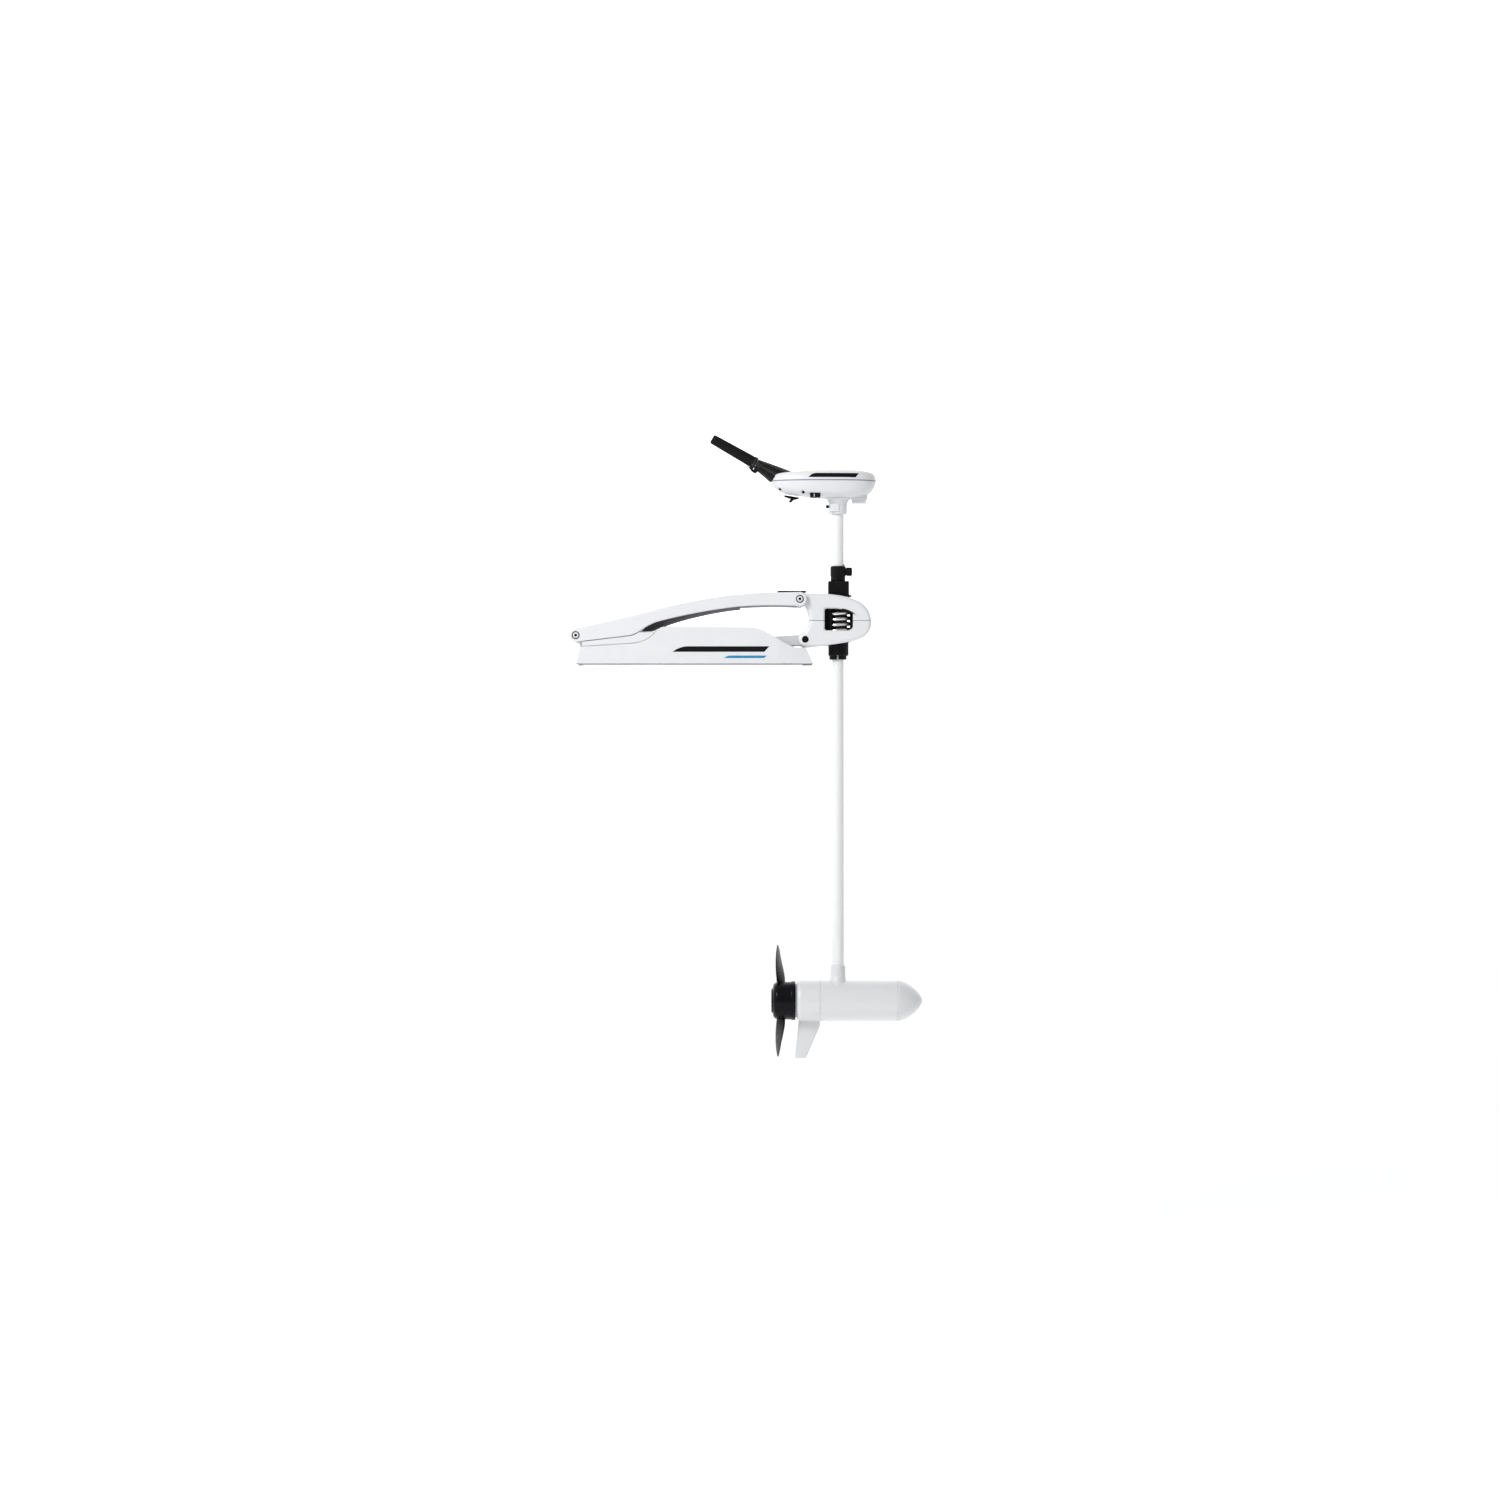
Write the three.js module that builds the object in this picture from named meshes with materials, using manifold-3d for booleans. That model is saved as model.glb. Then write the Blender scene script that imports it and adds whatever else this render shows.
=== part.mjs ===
// A bow-mount electric trolling motor: a deck mount with folding arms, a spring breakaway housing,
// a steering column, a control head with a tilting tiller, and a submerged motor with a propeller.
// Millimetres, +Z up. The origin is the centre of the mount's underside, +X points outboard.

import * as THREE from "three";
import { mergeVertices } from "three/addons/utils/BufferGeometryUtils.js";
import Module from "manifold-3d";

const wasm = await Module();
wasm.setup();

// ---------------------------------------------------------------- driving dimensions

const GAP = 0.3; // between pieces that touch
const NEAR_AND_FAR = [["near", -1], ["far", 1]];

const ARM_PIVOT = { x: -283.2, z: 69.6 }; // upper arms on the base
const HOUSING_PIVOT = { x: 250.8, z: 156 }; // upper arms on the housing
const LINK_BASE_PIVOT = { x: -232.8, z: 28 }; // lower arm on the base
const LINK_HOUSING_PIVOT = { x: 264, z: 60 }; // lower arm in the housing's slot
const PIVOT_RADIUS = 8;
const PIVOT_HEAD_RADIUS = 9.2;
const LINK_PIN_RADIUS = 6;

const COLUMN_X = 343.2; // axis of the steering column
const BREAKAWAY_Z = 105; // centre that the column tilts about
const KNOB_Z = 224; // axis of the depth collar's knob
const SEAM_Z = 440.4; // joint between the control head's two shells
const MOTOR_Z = -805.4; // axis of the motor and propeller

const WALL_INNER = 50; // distances from the middle plane
const WALL_OUTER = 56;
const COVER_INNER = 57;
const COVER_THICKNESS = 4;
const RIM_SETBACK = 1.5;
const ARM_INNER = 58;
const SIDE_FACE = 70;
const HOUSING_HALF_WIDTH = 56;
const LINK_HALF_WIDTH = 25;

const DECK_HOLE_X = 200; // deck screw holes, from the middle of the base
const DECK_HOLE_Y = 35;
const DECK_HOLE_RADIUS = 3.5;
const SOCKET_RADIUS = 4.2; // six-sided sockets in the pivot bolts

const SHAFT_RADIUS = 14.3;
const SLEEVE_RADIUS = 17.6;
const GUIDE_RADIUS = 22;
const TILLER_RISE = THREE.MathUtils.degToRad(29.7);

// ---------------------------------------------------------------- materials

function material(color, roughness, metalness = 0) {
  return new THREE.MeshStandardMaterial({ color, roughness, metalness });
}

const whitePaint = material(0xe8eaee, 0.38);
const whitePlastic = material(0xecedf0, 0.45);
const blackPlastic = material(0x17181a, 0.5);
const blackRubber = material(0x1d1d1f, 0.85);
const greyRubber = material(0x3a3a3e, 0.8);
const polymer = material(0x2a2b2e, 0.6);
const steel = material(0xb9bcc2, 0.28, 1);
const springSteel = material(0xc9c6c4, 0.22, 1);
const ferrite = material(0x33343a, 0.7, 0.3);
const copper = material(0xb0713d, 0.4, 0.9);
const carbon = material(0x222224, 0.75);
const boardGreen = material(0x1f5a38, 0.6);

// ---------------------------------------------------------------- joining and cutting

function closedIndexed(geometry) {
  const bare = geometry.clone();
  bare.deleteAttribute("normal");
  bare.deleteAttribute("uv");
  const merged = mergeVertices(bare, 1e-3);
  const kept = [];
  const index = merged.index.array;
  for (let i = 0; i < index.length; i += 3) {
    const [a, b, c] = [index[i], index[i + 1], index[i + 2]];
    if (a !== b && b !== c && a !== c) kept.push(a, b, c);
  }
  merged.setIndex(kept);
  return merged;
}

function volumeOf(geometry) {
  const corner = [new THREE.Vector3(), new THREE.Vector3(), new THREE.Vector3()];
  const { position } = geometry.attributes;
  const index = geometry.index.array;
  let total = 0;
  for (let i = 0; i < index.length; i += 3) {
    corner.forEach((point, k) => point.fromBufferAttribute(position, index[i + k]));
    total += corner[0].dot(corner[1].cross(corner[2])) / 6;
  }
  return total;
}

function toSolid(geometry) {
  const closed = closedIndexed(geometry);
  const triVerts = Uint32Array.from(closed.index.array);
  if (volumeOf(closed) < 0) triVerts.reverse();
  const vertProperties = Float32Array.from(closed.attributes.position.array);
  return new wasm.Manifold(new wasm.Mesh({ numProp: 3, vertProperties, triVerts }));
}

function toGeometry(solid) {
  const mesh = solid.getMesh();
  const geometry = new THREE.BufferGeometry();
  geometry.setAttribute("position", new THREE.Float32BufferAttribute(mesh.vertProperties, 3));
  geometry.setIndex(new THREE.Uint32BufferAttribute(mesh.triVerts, 1));
  return geometry;
}

function join(...pieces) {
  return toGeometry(pieces.map(toSolid).reduce((whole, piece) => whole.add(piece)));
}

function cut(body, ...tools) {
  return toGeometry(tools.map(toSolid).reduce((left, tool) => left.subtract(tool), toSolid(body)));
}

function common(first, second) {
  return toGeometry(toSolid(first).intersect(toSolid(second)));
}

// ---------------------------------------------------------------- shapes

function box(x0, x1, y0, y1, z0, z1) {
  const geometry = new THREE.BoxGeometry(x1 - x0, y1 - y0, z1 - z0);
  return geometry.translate((x0 + x1) / 2, (y0 + y1) / 2, (z0 + z1) / 2);
}

function rodX(x0, x1, y, z, radius, sides = 16) {
  const rod = new THREE.CylinderGeometry(radius, radius, x1 - x0, sides);
  return rod.rotateZ(Math.PI / 2).translate((x0 + x1) / 2, y, z);
}

function rodY(y0, y1, { x, z }, radius, sides = 16) {
  const rod = new THREE.CylinderGeometry(radius, radius, Math.abs(y1 - y0), sides);
  return rod.translate(x, (y0 + y1) / 2, z);
}

function rodZ(z0, z1, x, y, radius, sides = 16) {
  const rod = new THREE.CylinderGeometry(radius, radius, z1 - z0, sides);
  return rod.rotateX(Math.PI / 2).translate(x, y, (z0 + z1) / 2);
}

// A profile of [radius, height] pairs turned about the Z axis.
function turned(profile, sides = 24) {
  const points = profile.map(([radius, height]) => new THREE.Vector2(radius, height));
  return new THREE.LatheGeometry(points, sides).rotateX(Math.PI / 2);
}

// A profile of [radius, x] pairs turned about the X axis.
function turnedX(profile, sides = 24) {
  return turned(profile, sides).rotateY(Math.PI / 2);
}

function ringZ(inner, outer, z0, z1, sides = 24) {
  return turned([[inner, z0], [outer, z0], [outer, z1], [inner, z1], [inner, z0]], sides);
}

function ringX(inner, outer, x0, x1, sides = 24) {
  return turnedX([[inner, x0], [outer, x0], [outer, x1], [inner, x1], [inner, x0]], sides);
}

// An outline in the XZ plane, extruded across the width from yA to yB.
function plate(outline, yA, yB, curveSegments = 8) {
  const depth = Math.abs(yB - yA);
  const geometry = new THREE.ExtrudeGeometry(outline, { depth, bevelEnabled: false, curveSegments });
  return geometry.translate(0, 0, -Math.max(yA, yB)).rotateX(Math.PI / 2);
}

function polygon(...corners) {
  return new THREE.Shape(corners.map(([x, z]) => new THREE.Vector2(x, z)));
}

// A closed skin over rings that all have the same number of points.
function loft(rings) {
  const sides = rings[0].length;
  const corners = rings.flat();
  const index = [];
  for (let ring = 0; ring < rings.length - 1; ring++) {
    for (let side = 0; side < sides; side++) {
      const a = ring * sides + side;
      const b = ring * sides + ((side + 1) % sides);
      index.push(a, b, b + sides, a, b + sides, a + sides);
    }
  }
  const last = (rings.length - 1) * sides;
  for (let side = 1; side < sides - 1; side++) {
    index.push(0, side + 1, side, last, last + side, last + side + 1);
  }
  const geometry = new THREE.BufferGeometry().setFromPoints(corners);
  geometry.setIndex(index);
  return geometry;
}

// ---------------------------------------------------------------- the scene graph

const trollingMotor = new THREE.Group();
const column = new THREE.Group(); // local X is measured from the column's axis
column.position.set(COLUMN_X, 0, 0);
const head = new THREE.Group(); // local origin on the column's axis at the head's seam
head.position.set(COLUMN_X, 0, SEAM_Z);
const tiller = new THREE.Group(); // local origin at the grip's inner end, local -X along the grip
tiller.position.set(-196.8, 0, 42.5);
tiller.rotation.y = TILLER_RISE;
const lowerUnit = new THREE.Group(); // local origin where the column's axis meets the motor's axis
lowerUnit.position.set(COLUMN_X, 0, MOTOR_Z);
head.add(tiller);
trollingMotor.add(column, head, lowerUnit);

function part(name, geometry, surface, parent = trollingMotor) {
  const mesh = new THREE.Mesh(toGeometry(toSolid(geometry)), surface.clone());
  mesh.name = name;
  parent.add(mesh);
}

// ---------------------------------------------------------------- base

function coverOutline() {
  const outline = new THREE.Shape();
  outline.moveTo(-283, 0);
  outline.lineTo(-274, 42);
  outline.lineTo(-148, 50);
  outline.bezierCurveTo(-118, 52.5, -98, 68, -86, 84);
  outline.quadraticCurveTo(-80, 90, -67, 90);
  outline.lineTo(130, 88.8);
  outline.bezierCurveTo(175, 89, 212, 43, 246, 40);
  outline.lineTo(264.7, 39.6);
  outline.quadraticCurveTo(274, 24, 283, 0);
  return outline;
}

function coverPocket() {
  const outline = new THREE.Shape();
  outline.moveTo(-272, -1);
  outline.lineTo(-266, 38);
  outline.lineTo(-146, 45.5);
  outline.bezierCurveTo(-114, 48, -92, 66, -78, 84);
  outline.lineTo(126, 84);
  outline.bezierCurveTo(172, 84, 210, 38, 246, 35.5);
  outline.lineTo(258, 35.5);
  outline.lineTo(272, -1);
  return outline;
}

// The cover's set-back upper rim, which follows the arm's lower edge.
function rimOutline() {
  const outline = new THREE.Shape();
  outline.moveTo(-267, 38);
  outline.lineTo(-268, 53.8);
  outline.lineTo(-156, 67.4);
  outline.bezierCurveTo(-144, 68.8, -139, 72.4, -134, 76.4);
  outline.lineTo(-99, 77);
  outline.lineTo(-95, 66);
  outline.bezierCurveTo(-105, 58, -120, 46, -146, 44);
  return outline;
}

function wallOutline() {
  const outline = new THREE.Shape();
  outline.moveTo(-270, 4);
  outline.lineTo(-272, 40);
  outline.absarc(ARM_PIVOT.x, ARM_PIVOT.z, 13, -Math.PI * 0.4, Math.PI / 2, true);
  outline.lineTo(-255, 79);
  outline.lineTo(-96, 79);
  outline.quadraticCurveTo(-90, 86, -80, 86);
  outline.lineTo(128, 85);
  outline.bezierCurveTo(173, 85, 209, 37, 240, 34);
  outline.lineTo(255, 4);
  return outline;
}

function baseChannel() {
  const floor = box(-270, 258, -WALL_OUTER, WALL_OUTER, 0, 5);
  const endWall = plate(polygon([255, 4], [272, 4], [258, 36], [250, 36]), -WALL_OUTER, WALL_OUTER);
  const walls = NEAR_AND_FAR.map(([, side]) => (
    plate(wallOutline(), side * WALL_INNER, side * WALL_OUTER, 6)));
  const holes = [
    rodY(-60, 60, LINK_BASE_PIVOT, LINK_PIN_RADIUS + GAP),
    rodY(-60, 60, ARM_PIVOT, PIVOT_RADIUS + GAP),
  ];
  for (const x of [-DECK_HOLE_X, DECK_HOLE_X]) {
    for (const y of [-DECK_HOLE_Y, DECK_HOLE_Y]) holes.push(rodZ(-1, 6, x, y, DECK_HOLE_RADIUS, 12));
  }
  return cut(join(floor, endWall, ...walls), ...holes);
}

// A bridge on the base's floor with a pad at each side, where the stowed motor lies.
function motorRest() {
  const floor = 5.3;
  const outer = WALL_INNER - 0.5;
  const inner = 30;
  const padOutline = polygon([60, floor], [140, floor], [150, 78], [136, 84], [100, 82], [64, 88], [56, 88]);
  const pads = NEAR_AND_FAR.map(([, side]) => plate(padOutline, side * inner, side * outer));
  return join(box(60, 140, -outer, outer, floor, floor + 4.2), ...pads);
}

// The covers draw in towards their outboard ends, so that the motor can swing past.
function endTaper(side, inset) {
  const corners = [[190, 71 - inset], [290, 60.5 - inset], [290, 80], [190, 80]];
  const wedge = new THREE.Shape(corners.map(([x, y]) => new THREE.Vector2(x, side * y)));
  return new THREE.ExtrudeGeometry(wedge, { depth: 110, bevelEnabled: false }).translate(0, 0, -10);
}

part("base_channel", baseChannel(), whitePaint);
part("motor_rest", motorRest(), blackRubber);
part("lower_arm_axle", rodY(-56.3, 56.3, LINK_BASE_PIVOT, LINK_PIN_RADIUS), steel);
for (const [name, side] of NEAR_AND_FAR) {
  const outer = cut(plate(coverOutline(), side * COVER_INNER, side * SIDE_FACE), endTaper(side, 0));
  const pocket = plate(coverPocket(), side * (COVER_INNER - 1), side * (SIDE_FACE - COVER_THICKNESS));
  const hollowed = cut(outer, cut(pocket, endTaper(side, COVER_THICKNESS)));
  const rim = plate(rimOutline(), side * COVER_INNER, side * (SIDE_FACE - RIM_SETBACK));
  part(`side_cover_${name}`, join(hollowed, rim), whitePlastic);
}

// ---------------------------------------------------------------- upper arms and lower arm

function upperArmOutline() {
  const outline = new THREE.Shape();
  outline.absarc(ARM_PIVOT.x, ARM_PIVOT.z, 16, Math.PI * 0.56, Math.PI * 1.55, false);
  outline.lineTo(-155, 69);
  outline.bezierCurveTo(-135, 71.5, -120, 92, -88, 102);
  outline.bezierCurveTo(-30, 117, 40, 131, 108, 138);
  outline.quadraticCurveTo(150, 141, 200, 141);
  outline.absarc(HOUSING_PIVOT.x, HOUSING_PIVOT.z, 17, -Math.PI * 0.55, Math.PI * 0.45, false);
  outline.lineTo(204, 171.6);
  outline.bezierCurveTo(100, 173, -20, 152, -132, 120);
  return outline;
}

function upperArm(side) {
  const bolts = [ARM_PIVOT, HOUSING_PIVOT];
  return cut(
    plate(upperArmOutline(), side * ARM_INNER, side * SIDE_FACE),
    ...bolts.map((pivot) => rodY(side * 57, side * 71, pivot, PIVOT_RADIUS + GAP)),
    ...bolts.map((pivot) => rodY(side * 66, side * 71, pivot, PIVOT_HEAD_RADIUS + GAP)));
}

function pivotBolt(pivot, side, inner) {
  const shank = rodY(side * inner, side * 69.6, pivot, PIVOT_RADIUS);
  const cap = rodY(side * 66.3, side * 69.6, pivot, PIVOT_HEAD_RADIUS);
  const socket = rodY(side * 66.5, side * 71, pivot, SOCKET_RADIUS, 6);
  return cut(join(shank, cap), socket);
}

// A dark strip under each arm's arch, inside the base's walls, with a flange out to the arm.
function armBumper(side) {
  const strip = new THREE.Shape();
  strip.moveTo(-129, 77);
  strip.quadraticCurveTo(-112, 97, -88, 106);
  strip.bezierCurveTo(-30, 121, 40, 135, 108, 142);
  strip.lineTo(108, 134.5);
  strip.bezierCurveTo(40, 127, -20, 112, -65, 97);
  strip.lineTo(-96, 84);
  const flange = box(-75, 109, side > 0 ? 47 : -57.7, side > 0 ? 57.7 : -47, 93, 150);
  const wide = common(plate(strip, side * 36, side * 57.7), flange);
  return join(plate(strip, side * 36, side * 48), wide);
}

for (const [name, side] of NEAR_AND_FAR) {
  part(`upper_arm_${name}`, upperArm(side), whitePaint);
  part(`arm_bumper_${name}`, armBumper(side), greyRubber);
  part(`arm_pivot_bolt_${name}`, pivotBolt(ARM_PIVOT, side, 49.5), steel);
  part(`housing_pivot_bolt_${name}`, pivotBolt(HOUSING_PIVOT, side, 40.5), steel);
}

part("arm_web", plate(
  polygon([70, 155], [140, 162], [225, 164], [225, 169.5], [140, 168], [70, 161]), -57.7, 57.7), whitePaint);

function releaseLever() {
  const paddle = polygon([199, 173.4], [259, 173.4], [267, 175], [263, 177.3], [202, 177.3], [197, 175]);
  const lug = polygon([200, 170.2], [210, 170.2], [210, 174], [199, 174]);
  return join(plate(paddle, -26, 26), plate(lug, -14, 14));
}

part("release_lever", releaseLever(), blackPlastic);

function lowerArm() {
  const eyeRadius = 18;
  const half = 13;
  const width = LINK_HALF_WIDTH;
  const eyes = [LINK_BASE_PIVOT, LINK_HOUSING_PIVOT].map((pivot) => rodY(-width, width, pivot, eyeRadius));
  const { x: x0, z: z0 } = LINK_BASE_PIVOT;
  const { x: x1, z: z1 } = LINK_HOUSING_PIVOT;
  const side = polygon([x0, z0 - half], [x1, z1 - half], [x1, z1 + half], [x0, z0 + half]);
  const bar = plate(side, -width, width);
  return cut(
    join(bar, ...eyes),
    rodY(-30, 30, LINK_BASE_PIVOT, LINK_PIN_RADIUS + GAP),
    rodY(-30, 30, LINK_HOUSING_PIVOT, PIVOT_RADIUS));
}

part("lower_arm", lowerArm(), whitePaint);

// ---------------------------------------------------------------- breakaway housing

function housingOutline() {
  const outline = new THREE.Shape();
  outline.moveTo(HOUSING_PIVOT.x, HOUSING_PIVOT.z + 15);
  outline.lineTo(294, 170.6);
  outline.bezierCurveTo(345, 168, 396, 160, 412, 134);
  outline.bezierCurveTo(426, 112, 426, 86, 409, 70);
  outline.bezierCurveTo(390, 56, 340, 47, LINK_HOUSING_PIVOT.x, LINK_HOUSING_PIVOT.z - 18);
  outline.absarc(LINK_HOUSING_PIVOT.x, LINK_HOUSING_PIVOT.z, 18, -Math.PI / 2, -Math.PI * 1.45, true);
  outline.bezierCurveTo(277, 92, 277, 122, 260.4, 144.5);
  outline.absarc(HOUSING_PIVOT.x, HOUSING_PIVOT.z, 15, -Math.PI * 0.28, -Math.PI * 1.5, true);
  return outline;
}

function windowOutline() {
  const outline = new THREE.Shape();
  outline.moveTo(316, 81.5);
  outline.quadraticCurveTo(310, 81.5, 310, 87.5);
  outline.lineTo(310, 128);
  outline.quadraticCurveTo(310, 134, 316, 134);
  outline.bezierCurveTo(340, 134, 360, 134, 378, 122);
  outline.lineTo(378, 90.5);
  outline.quadraticCurveTo(374, 81.5, 362, 81.5);
  return outline;
}

// A cup around the breakaway centre: what lies outside the ball, within the given reach of the axis.
function ballRecess(ballRadius, reach, up) {
  const ball = new THREE.SphereGeometry(ballRadius, 24, 16).rotateX(Math.PI / 2);
  const [z0, z1] = up ? [BREAKAWAY_Z + 10, 190] : [20, BREAKAWAY_Z - 10];
  return cut(rodZ(z0, z1, COLUMN_X, 0, reach, 24), ball.translate(COLUMN_X, 0, BREAKAWAY_Z));
}

function housingShell(upper) {
  const half = HOUSING_HALF_WIDTH;
  const block = plate(housingOutline(), -half, half, 7);
  const [low, high] = upper ? [BREAKAWAY_Z + GAP / 2, 200] : [30, BREAKAWAY_Z - GAP / 2];
  const split = box(200, 440, -60, 60, low, high);
  const { x, z } = LINK_HOUSING_PIVOT;
  return cut(
    common(block, split),
    rodZ(74, 146, COLUMN_X, 0, 42.5, 28),
    rodZ(30, 190, COLUMN_X, 0, 30, 24),
    ballRecess(64.6, 41, true),
    ballRecess(51.8, 37, false),
    plate(windowOutline(), -60, 60, 5),
    rodY(-28.3, 28.3, LINK_HOUSING_PIVOT, 20.5, 28),
    box(x - 24, x + 21.5, -28.3, 28.3, 30, z),
    ...NEAR_AND_FAR.map(([, side]) => rodY(side * 40, side * 60, HOUSING_PIVOT, PIVOT_RADIUS + GAP)),
    ...NEAR_AND_FAR.map(([, side]) => rodY(side * 28, side * 60, LINK_HOUSING_PIVOT, PIVOT_RADIUS + GAP)));
}

class Helix extends THREE.Curve {
  constructor(radius, z0, z1, turns) {
    super();
    Object.assign(this, { radius, z0, z1, turns });
  }

  getPoint(t, target = new THREE.Vector3()) {
    const angle = Math.PI + t * this.turns * Math.PI * 2;
    const height = THREE.MathUtils.lerp(this.z0, this.z1, t);
    return target.set(Math.cos(angle) * this.radius, Math.sin(angle) * this.radius, height);
  }
}

function breakawaySpring() {
  const wire = new THREE.Shape().absarc(0, 0, 4, 0, Math.PI * 2, false);
  const turns = 4.5;
  const extrudePath = new Helix(34.5, 78.6, 139.4, turns);
  return new THREE.ExtrudeGeometry(wire, {
    steps: turns * 14, curveSegments: 3, bevelEnabled: false, extrudePath,
  });
}

function springCage() {
  const window = box(-15, 29, -50, 50, 81.5, 131);
  return cut(ringZ(39.3, 41.8, 74.4, 145.6, 28), window);
}

part("housing_upper_shell", housingShell(true), whitePaint);
part("housing_lower_shell", housingShell(false), whitePaint);
part("spring_cage", springCage(), blackPlastic, column);
part("breakaway_spring", breakawaySpring(), springSteel, column);
for (const [name, side] of NEAR_AND_FAR) {
  const screw = rodY(side * 29, side * 55.6, LINK_HOUSING_PIVOT, PIVOT_RADIUS);
  const socket = rodY(side * 52, side * 57, LINK_HOUSING_PIVOT, SOCKET_RADIUS, 6);
  part(`lower_pivot_screw_${name}`, cut(screw, socket), steel);
}

// ---------------------------------------------------------------- tilting carrier, sleeve and collar

function ball(radius) {
  return new THREE.SphereGeometry(radius, 24, 16).rotateX(Math.PI / 2).translate(0, 0, BREAKAWAY_Z);
}

function upperSeat() {
  const flange = common(rodZ(150, 190, 0, 0, 33, 24), cut(ball(70), ball(66.6)));
  const block = cut(box(-24, 26, -25, 25, 160, 200.7), ball(66.6));
  return cut(join(flange, block), rodZ(100, 210, 0, 0, GUIDE_RADIUS + GAP, 24));
}

function lowerSeat() {
  const flange = common(rodZ(40, 80, 0, 0, 30, 24), cut(ball(56.5), ball(53.1)));
  const boss = cut(rodZ(22, 70, 1, 0, 24.6, 24), ball(53.1));
  const nose = rodZ(12.6, 23, 0, 0, 21, 24);
  const clampSlot = box(-3.5, 1, -40, 40, 0, 23);
  const tubeBore = rodZ(25, 100, 0, 0, GUIDE_RADIUS + GAP, 24);
  const shaftBore = rodZ(0, 30, 0, 0, SHAFT_RADIUS + 2 * GAP, 24);
  return cut(join(flange, boss, nose), tubeBore, shaftBore, clampSlot);
}

function depthCollar() {
  const band = rodZ(201.3, 237, 0, 0, 18.6, 24);
  const ear = box(10, 19.3, -9, 9, 214, 234);
  const tab = box(7, 16, -6, 6, 230, 242);
  const shaftBore = rodZ(200, 245, 0, 0, SHAFT_RADIUS + GAP, 24);
  return cut(join(band, ear, tab), shaftBore, rodX(16, 20, 0, KNOB_Z, 3.3, 12));
}

function depthKnob() {
  const grip = rodX(19.7, 34, 0, KNOB_Z, 10.6, 18);
  const screw = rodX(16.5, 22, 0, KNOB_Z, 3, 12);
  return join(grip, screw);
}

part("guide_tube", ringZ(SLEEVE_RADIUS + GAP, GUIDE_RADIUS, 25.3, 200.4), polymer, column);
part("upper_seat", upperSeat(), blackPlastic, column);
part("lower_seat", lowerSeat(), blackPlastic, column);
part("steering_sleeve", ringZ(SHAFT_RADIUS + GAP, SLEEVE_RADIUS, 25.5, 200.9), polymer, column);
part("depth_collar", depthCollar(), blackPlastic, column);
part("depth_knob", depthKnob(), blackPlastic, column);

// ---------------------------------------------------------------- control head

// Levels of the head: [height, back end, front end, half width], measured from the seam.
const LOWER_LEVELS = [
  [-40, -60, 40, 30], [-35, -93, 62, 44], [-29, -128, 76, 52], [-20, -147, 84, 57], [-10, -156, 89, 60.5],
  [-0.4, -161, 91, 62],
];
const UPPER_LEVELS = [
  [0.4, -161, 91, 62], [10, -158, 89.5, 60.5], [18, -149, 84, 56], [22.2, -114, 75, 49], [25.6, -86, 58, 38],
];
const SHELL_THICKNESS = 3;

function headLevel([z, back, front, half], inset) {
  const points = [];
  const count = 24;
  const squareness = 2 / 2.5;
  for (let i = 0; i < count; i++) {
    const angle = (i / count) * Math.PI * 2;
    const along = Math.sign(Math.cos(angle)) * Math.abs(Math.cos(angle)) ** squareness;
    const across = Math.sign(Math.sin(angle)) * Math.abs(Math.sin(angle)) ** squareness;
    const x = (back + front) / 2 + along * ((front - back) / 2 - inset);
    points.push(new THREE.Vector3(x, across * (half - inset), z));
  }
  return points;
}

function headLoft(levels, inset) {
  return loft(levels.map((level) => headLevel(level, inset)));
}

function headCavity(levels, up) {
  const shift = up ? -SHELL_THICKNESS : SHELL_THICKNESS;
  const lifted = levels.map(([z, ...rest]) => [z + shift, ...rest]);
  return headLoft(lifted, SHELL_THICKNESS);
}

const SCREW_PLACES = [[-139, 27, -23], [-84, 47, -32]]; // [x, half spacing, bottom height]
const SWITCH = { x0: -67, x1: -44, y0: -50, y1: -40, z0: -41, z1: -31 };

function lowerShell() {
  const holes = SCREW_PLACES.flatMap(([x, y]) => [-y, y].map((at) => rodZ(-60, 10, x, at, 3.2 + GAP, 10)));
  const { x0, x1, y0, y1, z0, z1 } = SWITCH;
  const switchHole = box(x0 - GAP, x1 + GAP, -60, y1 + 3, z0 - GAP, z1 + GAP);
  const shaftHole = rodZ(-60, -20, 0, 0, SHAFT_RADIUS + GAP, 24);
  const shell = cut(headLoft(LOWER_LEVELS, 0), headCavity(LOWER_LEVELS, false));
  return cut(shell, shaftHole, switchHole, ...holes);
}

function headStem() {
  const bore = SHAFT_RADIUS + GAP;
  const profile = [
    [bore, -78.7], [20, -78.7], [22, -76], [22, -56], [25, -46], [31, -40.4], [bore, -40.4], [bore, -78.7],
  ];
  return cut(turned(profile, 24), rodX(-30, -15, 0, -60.4, 3.8, 12));
}

function tiltLatch() {
  const outline = polygon(
    [-129, -33], [-94, -38.5], [-94, -42], [-106, -44], [-112, -50], [-118, -50], [-113, -42], [-129, -37]);
  return cut(plate(outline, -9, 9), headLoft(LOWER_LEVELS, -0.5));
}

const headEnvelope = headLoft([...LOWER_LEVELS, ...UPPER_LEVELS], -0.5);

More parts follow.
